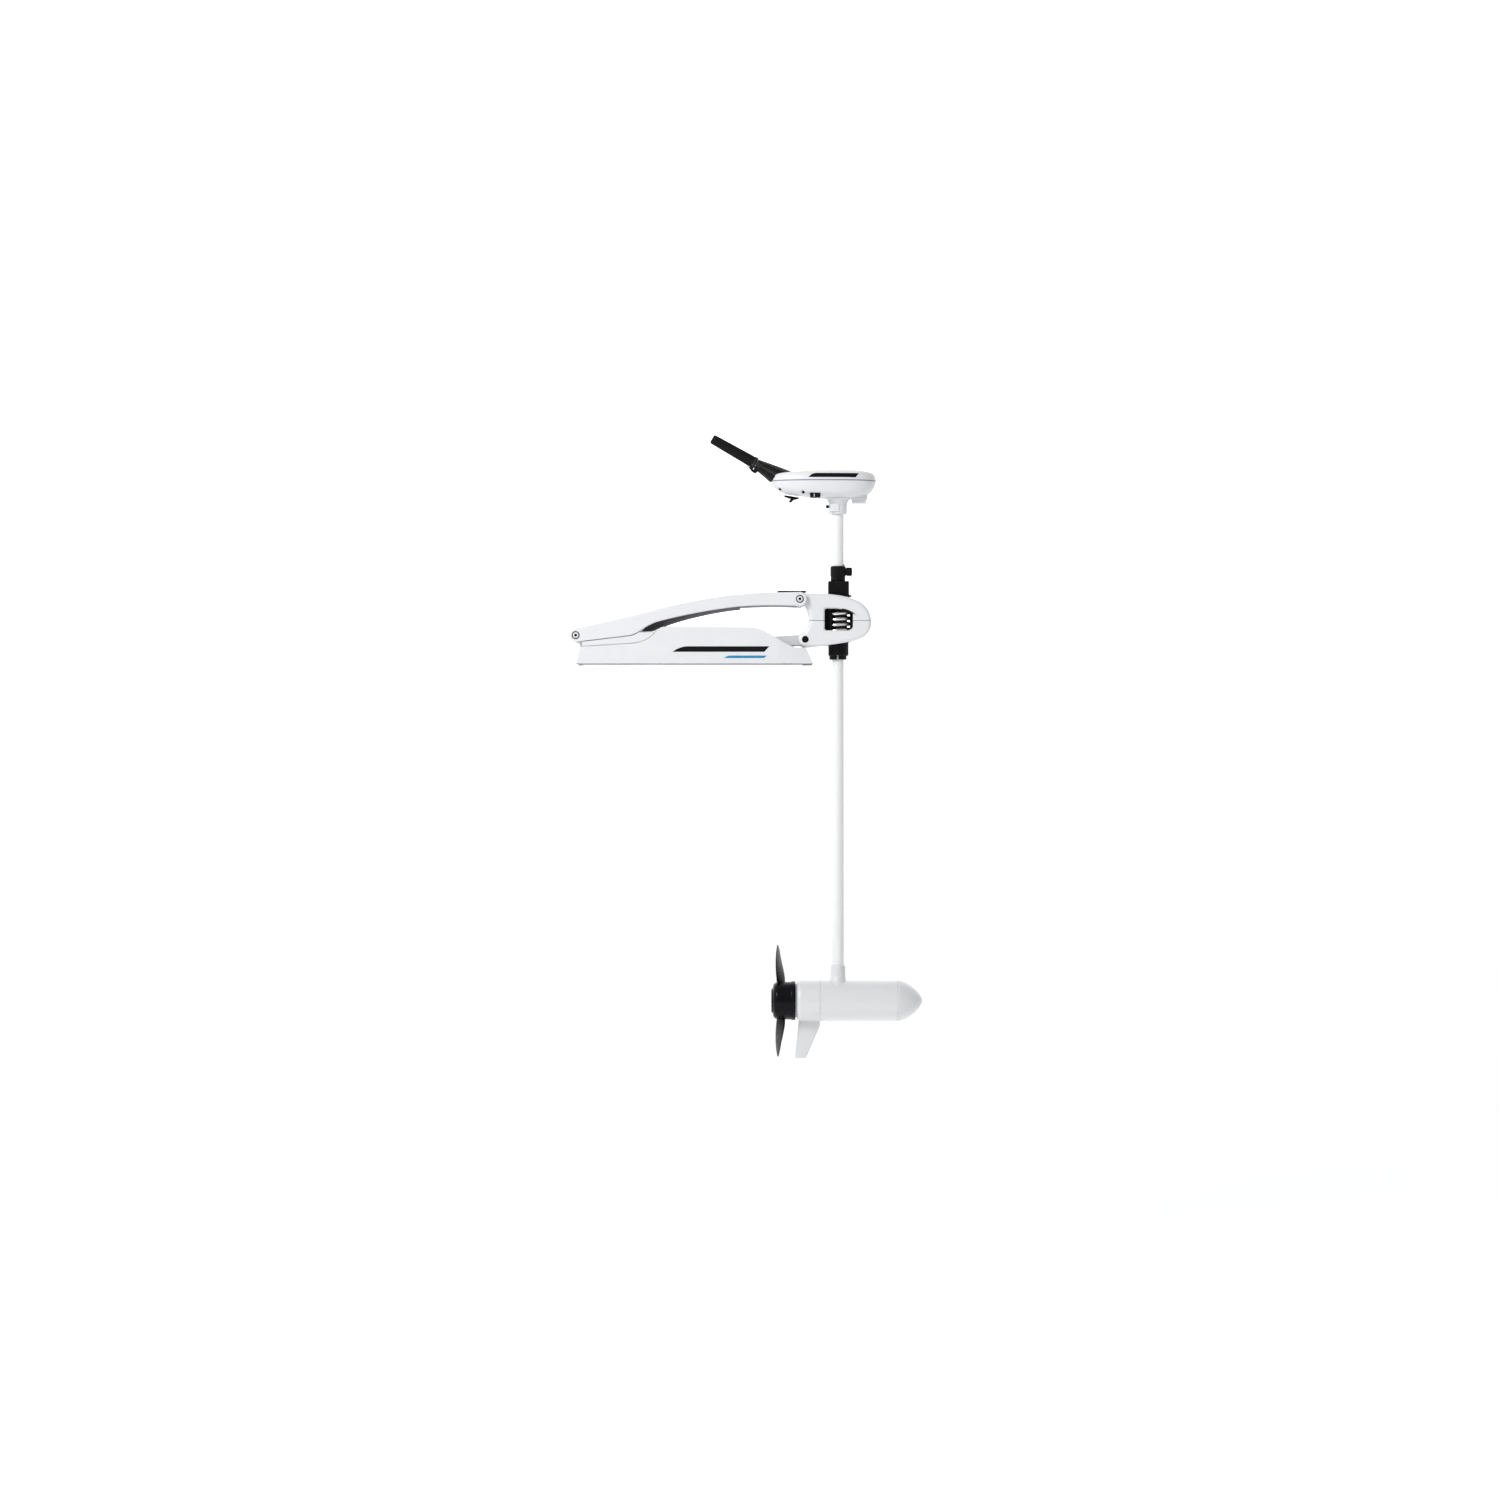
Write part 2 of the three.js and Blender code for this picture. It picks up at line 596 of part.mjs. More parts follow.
part("head_lower_shell", lowerShell(), whitePlastic, head);
part("head_upper_cover", cut(headLoft(UPPER_LEVELS, 0), headCavity(UPPER_LEVELS, true)), whitePlastic, head);
part("head_stem", headStem(), whitePlastic, head);
part("control_board", box(-110, 50, -34, 34, -12, -9), boardGreen, head);
part("cable_gland", rodX(-29, -18, 0, -60.4, 3.5, 12), blackRubber, head);
part("accessory_port", cut(box(31, 70, -16, 16, -53, -20), headEnvelope), whitePlastic, head);
part("tilt_latch", tiltLatch(), blackPlastic, head);
part("mode_switch", box(...Object.values(SWITCH)), blackPlastic, head);
SCREW_PLACES.forEach(([x, y, z], row) => {
  for (const [name, side] of NEAR_AND_FAR) {
    part(`head_screw_${row + 1}_${name}`, rodZ(z, z + 14, x, side * y, 3.2, 10), steel, head);
  }
});

// ---------------------------------------------------------------- shaft

part("shaft_tube", ringZ(11, SHAFT_RADIUS, -750, 415), whitePaint, column);

// ---------------------------------------------------------------- tiller

// Sections of the tiller's fairing: [distance from the grip, bottom, top, half width].
const FAIRING = [
  [1, -13, 12.5, 13], [26, -17, 17, 19], [52, -22, 21.5, 26], [72, -22, 24.5, 31], [89, -22, 27, 33],
];

function fairingSection([x, low, high, half]) {
  const points = [];
  const count = 16;
  for (let i = 0; i < count; i++) {
    const angle = (i / count) * Math.PI * 2;
    const across = Math.sign(Math.cos(angle)) * Math.abs(Math.cos(angle)) ** 0.7;
    const up = Math.sign(Math.sin(angle)) * Math.abs(Math.sin(angle)) ** 0.7;
    points.push(new THREE.Vector3(x, across * half, (low + high) / 2 + (up * (high - low)) / 2));
  }
  return points;
}

function tillerArm() {
  tiller.updateMatrix();
  const intoTiller = tiller.matrix.clone().invert();
  const tiltRelief = box(-174, -120, -40, 40, -40, -1);
  const tubeBore = rodX(-5, 24, 0, 0, 8.8, 16);
  return cut(loft(FAIRING.map(fairingSection)), headEnvelope.clone().applyMatrix4(intoTiller),
    tiltRelief.applyMatrix4(intoTiller), tubeBore);
}

function tillerGrip() {
  const profile = [
    [8.9, -116], [8.9, 0], [14, 0], [14.5, -3], [13.6, -22], [12.6, -70], [11.5, -117], [10.5, -121.3],
    [0, -121.3], [0, -116], [8.9, -116],
  ];
  return turnedX(profile, 24);
}

part("tiller_arm", tillerArm(), blackPlastic, tiller);
part("tiller_tube", ringX(6, 8.5, -112, 23, 20), steel, tiller);
part("tiller_grip", tillerGrip(), blackRubber, tiller);

// ---------------------------------------------------------------- motor and propeller

const MOTOR_RADIUS = 48.7;
const MOTOR_BORE = 45;
const AXLE_RADIUS = 6;
const BEARING_SEAT = 14.3;
const DRIVE_PIN_X = -132;

function motorBody() {
  const tube = ringX(MOTOR_BORE, MOTOR_RADIUS, -43, 142, 32);
  const boss = cut(rodZ(40, 85.4, 0, 0, 17.5, 24), rodX(-30, 30, 0, 0, MOTOR_BORE + 1.5, 32));
  const wireHole = rodZ(30, 60, 0, 0, 9, 16);
  return cut(join(tube, boss), rodZ(55, 90, 0, 0, SHAFT_RADIUS + GAP, 24), wireHole);
}

function skegEndBell() {
  const bell = turnedX([
    [8, -103], [40, -103], [40, -99], [42, -99], [46.5, -96], [MOTOR_RADIUS, -88], [MOTOR_RADIUS, -43.3],
    [MOTOR_BORE, -43.3], [MOTOR_BORE, -86], [41, -94], [18, -94], [18, -71], [BEARING_SEAT, -71],
    [BEARING_SEAT, -94], [8, -94], [8, -103],
  ], 32);
  const fin = plate(polygon([-94, -44], [-36, -44], [-77, -137.6], [-103, -137.6]), -4, 4);
  const keep = cut(fin, rodX(-120, -20, 0, 0, MOTOR_BORE + 1.5, 32), box(-43.3, 0, -10, 10, -60, 0));
  return join(bell, keep);
}

function noseCone() {
  const dome = turnedX([
    [0, 142.3], [MOTOR_RADIUS, 142.3], [48.6, 147], [45, 157], [40.8, 167], [34.8, 176], [28.6, 184],
    [21.5, 191], [14, 197], [7, 201], [0, 202],
  ], 32);
  const bearingPocket = rodX(140, 155, 0, 0, BEARING_SEAT, 20);
  const hollow = cut(rodX(140, 153, 0, 0, 42, 32), rodX(140, 160, 0, 0, 18, 20));
  return cut(dome, bearingPocket, hollow);
}

function bladeSection(radius, chord, thickness, pitch, sweep, x) {
  const points = [];
  const count = 10;
  for (let i = 0; i < count; i++) {
    const angle = (i / count) * Math.PI * 2;
    const along = Math.cos(angle) * (chord / 2) + sweep;
    const through = Math.sin(angle) * (thickness / 2);
    const across = along * Math.cos(pitch) - through * Math.sin(pitch);
    const axial = along * Math.sin(pitch) + through * Math.cos(pitch);
    points.push(new THREE.Vector3(x + axial, across, radius));
  }
  return points;
}

// Sections of a blade: [radius, chord, thickness, pitch in degrees, sweep, place along the axis].
const BLADE = [
  [40, 31, 6, 38, 0, -136.5], [58, 41, 5.2, 30, 1, -138.5], [80, 47, 4.4, 22, 3, -142],
  [102, 44, 3.6, 17, 6, -145], [120, 33, 2.8, 14, 10, -146.5], [130, 18, 2.2, 12, 14, -147.5],
  [133, 7, 1.6, 12, 16, -148],
];

function blade(turn) {
  const sections = BLADE.map(([radius, chord, thickness, pitch, sweep, x]) => (
    bladeSection(radius, chord, thickness, THREE.MathUtils.degToRad(pitch), sweep, x)));
  return loft(sections).rotateX(turn);
}

function propeller() {
  const bore = AXLE_RADIUS + 0.4;
  const hub = turnedX([
    [bore, -156], [36, -156], [42, -152], [44.5, -146], [45.2, -112], [46.6, -110], [46.6, -102.4],
    [42.5, -102.4], [41.5, -144], [38, -150], [12, -150], [12, -112], [bore, -112], [bore, -156],
  ], 28);
  const inside = rodX(-160, -90, 0, 0, 42.5, 28);
  const blades = [0, Math.PI].map((turn) => cut(blade(turn), inside));
  return cut(join(hub, ...blades), rodZ(-20, 20, DRIVE_PIN_X, 0, 2.7, 10));
}

function propNut() {
  return turnedX([[0, -156.3], [30, -156.3], [30, -158.3], [26, -160.2], [0, -160.2]], 24);
}

function motorShaft() {
  return cut(rodX(-155.7, 154, 0, 0, AXLE_RADIUS, 20), rodZ(-10, 10, DRIVE_PIN_X, 0, 2.7, 10));
}

function armature() {
  const core = ringX(AXLE_RADIUS + GAP, 33, -8, 82, 16);
  const commutator = ringX(AXLE_RADIUS + GAP, 16, 81, 112, 16);
  return join(core, commutator);
}

function magnet(up) {
  const sleeve = ringX(36, 44.6, -13, 87, 24);
  return common(sleeve, up ? box(-20, 90, -50, 50, 12, 50) : box(-20, 90, -50, 50, -50, -12));
}

part("motor_body", motorBody(), whitePaint, lowerUnit);
part("skeg_end_bell", skegEndBell(), whitePaint, lowerUnit);
part("nose_cone", noseCone(), whitePaint, lowerUnit);
part("motor_shaft", motorShaft(), steel, lowerUnit);
part("armature", armature(), copper, lowerUnit);
part("magnet_upper", magnet(true), ferrite, lowerUnit);
part("magnet_lower", magnet(false), ferrite, lowerUnit);
part("brush_plate", ringX(24, 44.6, 115, 119, 20), polymer, lowerUnit);
part("brush_upper", box(100, 114.7, -6, 6, 16.4, 32), carbon, lowerUnit);
part("brush_lower", box(100, 114.7, -6, 6, -32, -16.4), carbon, lowerUnit);
part("rear_bearing", ringX(AXLE_RADIUS + GAP, 14, -86, -76, 16), steel, lowerUnit);
part("front_bearing", ringX(AXLE_RADIUS + GAP, 14, 144, 154, 16), steel, lowerUnit);
part("shaft_seal", ringX(AXLE_RADIUS + GAP, 13.6, -93.6, -87, 16), blackRubber, lowerUnit);
part("propeller", propeller(), blackPlastic, lowerUnit);
part("drive_pin", rodZ(-15, 15, DRIVE_PIN_X, 0, 2.4, 10), steel, lowerUnit);
part("prop_nut", propNut(), blackPlastic, lowerUnit);

export default trollingMotor;
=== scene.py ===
import math

import bmesh
import bpy
from mathutils import Matrix, Vector


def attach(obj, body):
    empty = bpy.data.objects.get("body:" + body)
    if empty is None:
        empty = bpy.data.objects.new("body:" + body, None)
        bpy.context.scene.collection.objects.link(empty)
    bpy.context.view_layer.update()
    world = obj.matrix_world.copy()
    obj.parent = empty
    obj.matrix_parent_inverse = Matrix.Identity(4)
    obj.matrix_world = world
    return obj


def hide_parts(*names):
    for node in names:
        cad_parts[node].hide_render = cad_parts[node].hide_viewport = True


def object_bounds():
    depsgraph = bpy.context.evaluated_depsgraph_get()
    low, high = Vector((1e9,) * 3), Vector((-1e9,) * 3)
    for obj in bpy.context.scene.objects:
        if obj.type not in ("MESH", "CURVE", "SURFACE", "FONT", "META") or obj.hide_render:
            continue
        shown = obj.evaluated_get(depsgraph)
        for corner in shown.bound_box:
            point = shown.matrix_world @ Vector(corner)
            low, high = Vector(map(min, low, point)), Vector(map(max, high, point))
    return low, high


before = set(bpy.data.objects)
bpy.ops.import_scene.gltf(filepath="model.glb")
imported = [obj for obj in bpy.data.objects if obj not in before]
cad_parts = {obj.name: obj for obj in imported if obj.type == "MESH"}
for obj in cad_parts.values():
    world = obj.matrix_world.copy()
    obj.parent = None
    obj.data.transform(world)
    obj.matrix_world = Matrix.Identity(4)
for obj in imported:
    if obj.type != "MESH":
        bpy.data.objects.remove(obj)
cad_low, cad_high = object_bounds()

# ---------------------------------------------------------------- sizes, in millimetres

MM = 0.001
NEAR_AND_FAR = (("near", -1), ("far", 1))

ARM_PIVOT = (-283.2, 69.6)
HOUSING_PIVOT = (250.8, 156.0)
LINK_BASE_PIVOT = (-232.8, 28.0)
LINK_HOUSING_PIVOT = (264.0, 60.0)
PIVOT_RADIUS = 8.0
HEAD_RADIUS = 9.2
HEXAGON = 6
GAP = 0.3

COLUMN_X = 343.2
COLUMN = (COLUMN_X, 0, 0)
BREAKAWAY_Z = 105.0
SEAM_Z = 440.4
MOTOR_Z = -805.4
AXIS = (COLUMN_X, 0, MOTOR_Z)

COVER_INNER = 57.0
COVER_WALL = 4.5
RIM_SETBACK = 1.5
ARM_INNER = 58.0
SIDE_FACE = 70.0
STRIPE_SPAN = (SIDE_FACE - 0.2, SIDE_FACE + 0.25)
HOUSING_HALF = 56.0
LINK_HALF = 25.0
SHAFT_RADIUS = 14.3
GUIDE_RADIUS = 22.0
MOTOR_RADIUS = 48.7

TILLER_RISE = math.radians(29.7)
TILLER_PLACE = Matrix.Translation(Vector((COLUMN_X - 196.8, 0, SEAM_Z + 42.5)) * MM)
TILLER_FRAME = TILLER_PLACE @ Matrix.Rotation(TILLER_RISE, 4, "Y")

# ---------------------------------------------------------------- outlines


def between(low, high, share):
    return low + (high - low) * share


def on_bezier(controls, share):
    points = [Vector(point) for point in controls]
    while len(points) > 1:
        points = [first.lerp(second, share) for first, second in zip(points, points[1:])]
    return tuple(points[0])


def outline(path, steps=14):
    """Points (x, z) of a path: M and L are points, Q and C are curves and A is an arc.

    An arc has its centre, its radius and its two angles in half turns.
    """
    sizes = {"M": 2, "L": 2, "Q": 4, "C": 6, "A": 5}
    words = path.split()
    points = []
    while words:
        kind = words.pop(0)
        values = [float(words.pop(0)) for _ in range(sizes[kind])]
        if kind in "ML":
            points.append(tuple(values))
        elif kind == "A":
            x, z, radius, start, end = values
            for step in range(steps + 1):
                angle = math.pi * between(start, end, step / steps)
                points.append((x + radius * math.cos(angle), z + radius * math.sin(angle)))
        else:
            controls = [points[-1]] + list(zip(values[::2], values[1::2]))
            points += [on_bezier(controls, step / steps) for step in range(1, steps + 1)]
    kept = [points[0]]
    for point in points[1:]:
        if math.dist(point, kept[-1]) > 0.05:
            kept.append(point)
    if math.dist(kept[0], kept[-1]) < 0.05:
        kept.pop()
    return kept


def on_smooth_curve(a, b, c, d, t):
    """A value on the smooth curve through a, b, c and d: b where t is 0, c where t is 1."""
    square, cube = 2 * a - 5 * b + 4 * c - d, 3 * b - a - 3 * c + d
    return 0.5 * (2 * b + (c - a) * t + square * t ** 2 + cube * t ** 3)


def smooth_rows(rows, per_gap=5):
    """Rows of numbers, with rows on a smooth curve through them filled in between."""
    filled = []
    for i in range(len(rows) - 1):
        four = (rows[max(i - 1, 0)], rows[i], rows[i + 1], rows[min(i + 2, len(rows) - 1)])
        for step in range(per_gap):
            filled.append([on_smooth_curve(*values, step / per_gap) for values in zip(*four)])
    filled.append(list(rows[-1]))
    return filled


def signed_power(value, power):
    return math.copysign(abs(value) ** power, value)


def around(count):
    return [2 * math.pi * i / count for i in range(count)]


# ---------------------------------------------------------------- meshes


def clean(obj):
    """Merges doubled points and turns every face outwards."""
    work = bmesh.new()
    work.from_mesh(obj.data)
    bmesh.ops.remove_doubles(work, verts=work.verts, dist=2e-6)
    bmesh.ops.dissolve_degenerate(work, edges=work.edges, dist=1e-6)
    bmesh.ops.recalc_face_normals(work, faces=work.faces)
    work.to_mesh(obj.data)
    work.free()


def new_object(vertices, faces, name="tool"):
    mesh = bpy.data.meshes.new(name)
    mesh.from_pydata([Vector(vertex) * MM for vertex in vertices], [], faces)
    obj = bpy.data.objects.new(name, mesh)
    bpy.context.scene.collection.objects.link(obj)
    clean(obj)
    return obj


def bake(obj):
    """Makes what an object's modifiers give its own mesh."""
    depsgraph = bpy.context.evaluated_depsgraph_get()
    baked = bpy.data.meshes.new_from_object(obj.evaluated_get(depsgraph))
    obj.modifiers.clear()
    obj.data = baked
    return obj


def combine(obj, operation, tools):
    for tool in tools:
        modifier = obj.modifiers.new("boolean", "BOOLEAN")
        modifier.operation = operation
        modifier.solver = "EXACT"
        modifier.object = tool
    bake(obj)
    for tool in tools:
        bpy.data.objects.remove(tool)
    clean(obj)
    return obj


def cut(obj, *tools):
    return combine(obj, "DIFFERENCE", tools)


def join(obj, *tools):
    return combine(obj, "UNION", tools)


def common(obj, *tools):
    return combine(obj, "INTERSECT", tools)


def add_bevel(obj, width, segments=3, angle=30):
    modifier = obj.modifiers.new("bevel", "BEVEL")
    modifier.width = width * MM
    modifier.segments = segments
    modifier.limit_method = "ANGLE"
    modifier.angle_limit = math.radians(angle)


def round_edges(obj, width, segments=3, angle=30):
    add_bevel(obj, width, segments, angle)
    return bake(obj)


def loft(rings):
    """A closed skin over rings that all have the same number of points."""
    count = len(rings[0])
    faces = [
        (row + i, row + (i + 1) % count, row + count + (i + 1) % count, row + count + i)
        for row in range(0, count * (len(rings) - 1), count) for i in range(count)]
    last = count * (len(rings) - 1)
    faces += [tuple(range(count)), tuple(range(last, last + count))]
    return new_object([point for ring in rings for point in ring], faces)


def prism(points, y0, y1):
    """An outline in the XZ plane, carried across from y0 to y1."""
    return loft([[(x, y, z) for x, z in points] for y in (y0, y1)])


def inset(points, amount):
    """An outline moved inwards by an amount, with mitred corners."""
    corners = [Vector(point) for point in points]
    following = corners[1:] + corners[:1]
    turn = math.copysign(1, sum(a.x * b.y - b.x * a.y for a, b in zip(corners, following)))
    inward = []
    for start, end in zip(corners, following):
        ahead = (end - start).normalized()
        inward.append(Vector((-ahead.y, ahead.x)) * turn)
    moved = []
    for i, corner in enumerate(corners):
        mitre = inward[i - 1] + inward[i]
        moved.append(tuple(corner + mitre * (amount / max(0.3, 1 + inward[i - 1].dot(inward[i])))))
    return moved


def rounded_prism(points, y0, y1, radius, steps=5):
    """A prism whose two outlines are rounded over by a quarter circle."""
    turns = [math.pi / 2 * step / steps for step in range(steps + 1)]
    near = [(radius * (1 - math.sin(angle)), y0 + radius * (1 - math.cos(angle))) for angle in turns]
    far = [(shrink, y0 + y1 - y) for shrink, y in reversed(near)]
    return loft([[(x, y, z) for x, z in inset(points, shrink)] for shrink, y in near + far])


def box(x0, x1, y0, y1, z0, z1):
    return prism([(x0, z0), (x1, z0), (x1, z1), (x0, z1)], y0, y1)


def lathe(profile, axis="Z", at=(0, 0, 0), sides=64):
    """A profile of (radius, distance along the axis) pairs, turned about that axis through a point."""
    count = len(profile)
    vertices = []
    for angle in around(sides):
        for radius, along in profile:
            a, b = radius * math.cos(angle), radius * math.sin(angle)
            spot = {"X": (along, a, b), "Y": (a, along, b), "Z": (a, b, along)}[axis]
            vertices.append(tuple(spot[i] + at[i] for i in range(3)))
    faces = [
        (s * count + i, s * count + (i + 1) % count,
         (s + 1) % sides * count + (i + 1) % count, (s + 1) % sides * count + i)
        for s in range(sides) for i in range(count)]
    return new_object(vertices, faces)


def rod(radius, start, end, axis="Z", at=(0, 0, 0), sides=48):
    return lathe([(0, start), (radius, start), (radius, end), (0, end)], axis, at, sides)


def tube(inner, outer, start, end, axis="Z", at=(0, 0, 0), sides=64):
    return lathe([(inner, start), (outer, start), (outer, end), (inner, end)], axis, at, sides)


def rods_around(angles, reach, radius, start, end, axis, at, sides):
    """Rods alongside an axis, at a distance from it and at the angles given."""
    rods = []
    for angle in angles:
        a, b = reach * math.cos(angle), reach * math.sin(angle)
        offset = {"X": (0, a, b), "Z": (a, b, 0)}[axis]
        rods.append(rod(radius, start, end, axis, tuple(at[i] + offset[i] for i in range(3)), sides))
    return rods


def swept(path, radius, sides=14):
    """A round wire along a path of points."""
    rings = []
    points = [Vector(point) for point in path]
    for i, point in enumerate(points):
        ahead = (points[min(i + 1, len(points) - 1)] - points[max(i - 1, 0)]).normalized()
        side = ahead.cross(Vector((0, 0, 1))).normalized()
        up = side.cross(ahead)
        rings.append([point + radius * (math.cos(a) * side + math.sin(a) * up) for a in around(sides)])
    return loft(rings)


def y_span(side, inner, outer):
    return sorted((side * inner, side * outer))


def pivot_rod(pivot, side, inner, outer, radius, sides=48):
    return rod(radius, *y_span(side, inner, outer), "Y", (pivot[0], 0, pivot[1]), sides)


def pivot_lathe(pivot, side, profile):
    """A profile of (radius, distance out from the middle plane) pairs, turned about a pivot on one side."""
    return lathe([(radius, side * out) for radius, out in profile], "Y", (pivot[0], 0, pivot[1]), 48)


def column_rod(radius, low, high, sides=64):
    return rod(radius, low, high, "Z", COLUMN, sides)


def column_box(x0, x1, y0, y1, z0, z1):
    return box(COLUMN_X + x0, COLUMN_X + x1, y0, y1, z0, z1)


def breakaway_ball(radius, sides=72):
    return lathe(outline(f"A 0 {BREAKAWAY_Z} {radius} -0.5 0.5", 28), "Z", COLUMN, sides)


# ---------------------------------------------------------------- materials


def feed(tree, socket, value):
    """Gives a socket its value, which is a plain value or another node's output."""
    if isinstance(value, bpy.types.NodeSocket):
        tree.links.new(value, socket)
    else:
        socket.default_value = value


def add_node(tree, kind, **values):
    """A new node, with values for the inputs of those names."""
    node = tree.nodes.new(f"ShaderNode{kind}")
    for name, value in values.items():
        feed(tree, node.inputs[name.replace("_", " ")], value)
    return node


def calculate(tree, operation, *values):
    node = add_node(tree, "Math")
    node.operation = operation
    for socket, value in zip(node.inputs, values):
        feed(tree, socket, value)
    return node.outputs["Value"]


def ramp_between(tree, value, low, high, at_low, at_high):
    ends = {"From_Min": low, "From_Max": high, "To_Min": at_low, "To_Max": at_high}
    return add_node(tree, "MapRange", Value=value, **ends).outputs["Result"]


LOOKS = {}


class Surface:
    """A Principled material with a few short calls for its nodes, in the row frame's metres."""

    def __init__(self, name, colour, roughness, metallic=0.0, specular=0.5, coat=0.0):
        material = bpy.data.materials.new(name)
        material.use_nodes = True
        LOOKS[name] = material
        self.tree = material.node_tree
        self.shader = self.tree.nodes["Principled BSDF"]
        self.colour = colour
        self.set("Base Color", (*colour, 1))
        self.set("Roughness", roughness)
        self.set("Metallic", metallic)
        self.set("Specular IOR Level", specular)
        self.set("Coat Weight", coat)
        self.set("Coat Roughness", 0.12)
        self.place = add_node(self.tree, "TexCoord").outputs["Object"]

    def set(self, socket, value):
        feed(self.tree, self.shader.inputs[socket], value)

    def along(self, axis):
        return add_node(self.tree, "SeparateXYZ", Vector=self.place).outputs[axis]

    def noise(self, scale, detail=3.0, stretch=None):
        place = self.place
        if stretch:
            place = add_node(self.tree, "Mapping", Vector=place, Scale=stretch).outputs["Vector"]
        return add_node(self.tree, "TexNoise", Vector=place, Scale=scale, Detail=detail).outputs["Fac"]

    def cells(self, scale):
        return add_node(self.tree, "TexVoronoi", Vector=self.place, Scale=scale).outputs["Distance"]

    def ramp(self, value, low, high, dark, light):
        node = add_node(self.tree, "ValToRGB", Fac=value)
        first, last = node.color_ramp.elements
        first.position, last.position = low, high
        first.color, last.color = (*dark, 1), (*light, 1)
        return node.outputs["Color"]

    def mottle(self, value, spread):
        """Varies the colour a little, up and down from the base colour."""
        dark = tuple(c * (1 - spread) for c in self.colour)
        light = tuple(min(1, c * (1 + spread)) for c in self.colour)
        self.set("Base Color", self.ramp(value, 0.3, 0.7, dark, light))

    def roughen(self, value, low, high):
        self.set("Roughness", ramp_between(self.tree, value, 0.3, 0.7, low, high))

    def bump(self, value, height, strength=0.5):
        node = add_node(self.tree, "Bump", Height=value, Distance=height * MM, Strength=strength)
        normal = self.shader.inputs["Normal"]
        if normal.is_linked:
            feed(self.tree, node.inputs["Normal"], normal.links[0].from_socket)
        feed(self.tree, normal, node.outputs["Normal"])


def painted(name, colour, roughness, coat=0.15):
    """Powder coat: faint mottling, orange peel a little over a millimetre across."""
    surface = Surface(name, colour, roughness, coat=coat)
    surface.mottle(surface.noise(9, 4), 0.012)
    surface.roughen(surface.noise(60, 3), roughness - 0.05, roughness + 0.06)
    surface.bump(surface.noise(700, 2), 0.05, 0.35)


def drawn_tube(name, colour, roughness):
    """A smooth composite tube: faint lines drawn out along its length, rubbed a little duller in places."""
    surface = Surface(name, colour, roughness, coat=0.35)
    lines = surface.noise(900, 2, (1, 1, 0.01))
    surface.mottle(lines, 0.006)
    surface.roughen(surface.noise(25, 3, (1, 1, 0.2)), roughness - 0.03, roughness + 0.05)
    surface.bump(lines, 0.006, 0.3)


def moulded(name, colour, roughness, specular, grain=1500, depth=0.06, spread=0.06):
    """Moulded plastic: spark-eroded grain, with smoother and rougher areas."""
    surface = Surface(name, colour, roughness, specular=specular)
    surface.mottle(surface.noise(40, 3), spread)
    surface.roughen(surface.noise(90, 4), roughness - 0.07, roughness + 0.08)
    surface.bump(surface.cells(grain), depth, 0.5)
    surface.bump(surface.noise(220, 3), 0.08, 0.25)


def rubbery(name, colour, roughness):
    surface = Surface(name, colour, roughness, specular=0.12)
    surface.mottle(surface.noise(60, 4), 0.15)
    surface.roughen(surface.noise(120, 3), roughness - 0.08, min(1, roughness + 0.08))
    surface.bump(surface.noise(1100, 4), 0.1, 0.6)


def metal(name, colour, roughness):
    """Bare metal, with fine lines drawn out along one direction."""
    surface = Surface(name, colour, roughness, metallic=1.0)
    lines = surface.noise(40, 5, (1, 14, 1))
    surface.mottle(lines, 0.07)
    surface.roughen(lines, roughness - 0.06, roughness + 0.1)
    surface.bump(lines, 0.03, 0.4)


def spring_with_painted_highlight():
    """Dark spring wire with a painted highlight: its colour is bright metal where it faces the middle of the
    window.
    """
    painted_highlight, dark, window_middle = (0.9, 0.88, 0.87), (0.012, 0.011, 0.012), 0.345
    surface = Surface("spring_steel", painted_highlight, 0.2, metallic=1.0)
    lines = surface.noise(900, 3, (0.05, 0.05, 1))
    surface.roughen(lines, 0.16, 0.3)
    surface.bump(lines, 0.02, 0.4)
    # Painted highlight: the colour is bright within 13 mm of the window's middle and dark beyond 20 mm.
    across = calculate(surface.tree, "SUBTRACT", surface.along("X"), window_middle)
    away = calculate(surface.tree, "ABSOLUTE", across)
    surface.set("Base Color", surface.ramp(away, 0.013, 0.02, painted_highlight, dark))


def shade_strip_rubber():
    """Painted shade fading to painted light: black at the inboard end, paler grey towards the outboard end.
    """
    surface = Surface("grey_rubber", (0.02, 0.02, 0.022), 0.6, specular=0.2)
    # Painted shade: black at x -0.14 m, fading to pale grey at x 0.11 m.
    shade_fade = ramp_between(surface.tree, surface.along("X"), -0.14, 0.11, 0, 1)
    surface.set("Base Color", surface.ramp(shade_fade, 0.0, 1.0, (0.02, 0.02, 0.021), (0.19, 0.185, 0.21)))
    surface.roughen(surface.noise(80, 3), 0.55, 0.72)
    surface.bump(surface.noise(900, 3), 0.1, 0.5)


def board_laminate():
    surface = Surface("board", (0.02, 0.11, 0.05), 0.4)
    surface.mottle(surface.cells(260), 0.35)
    surface.bump(surface.cells(260), 0.2, 0.6)


def wound_copper():
    surface = Surface("copper", (0.55, 0.24, 0.1), 0.35, metallic=0.9)
    wave = surface.noise(300, 2, (0.15, 1, 1))
    surface.mottle(wave, 0.3)
    surface.bump(wave, 0.4, 0.8)


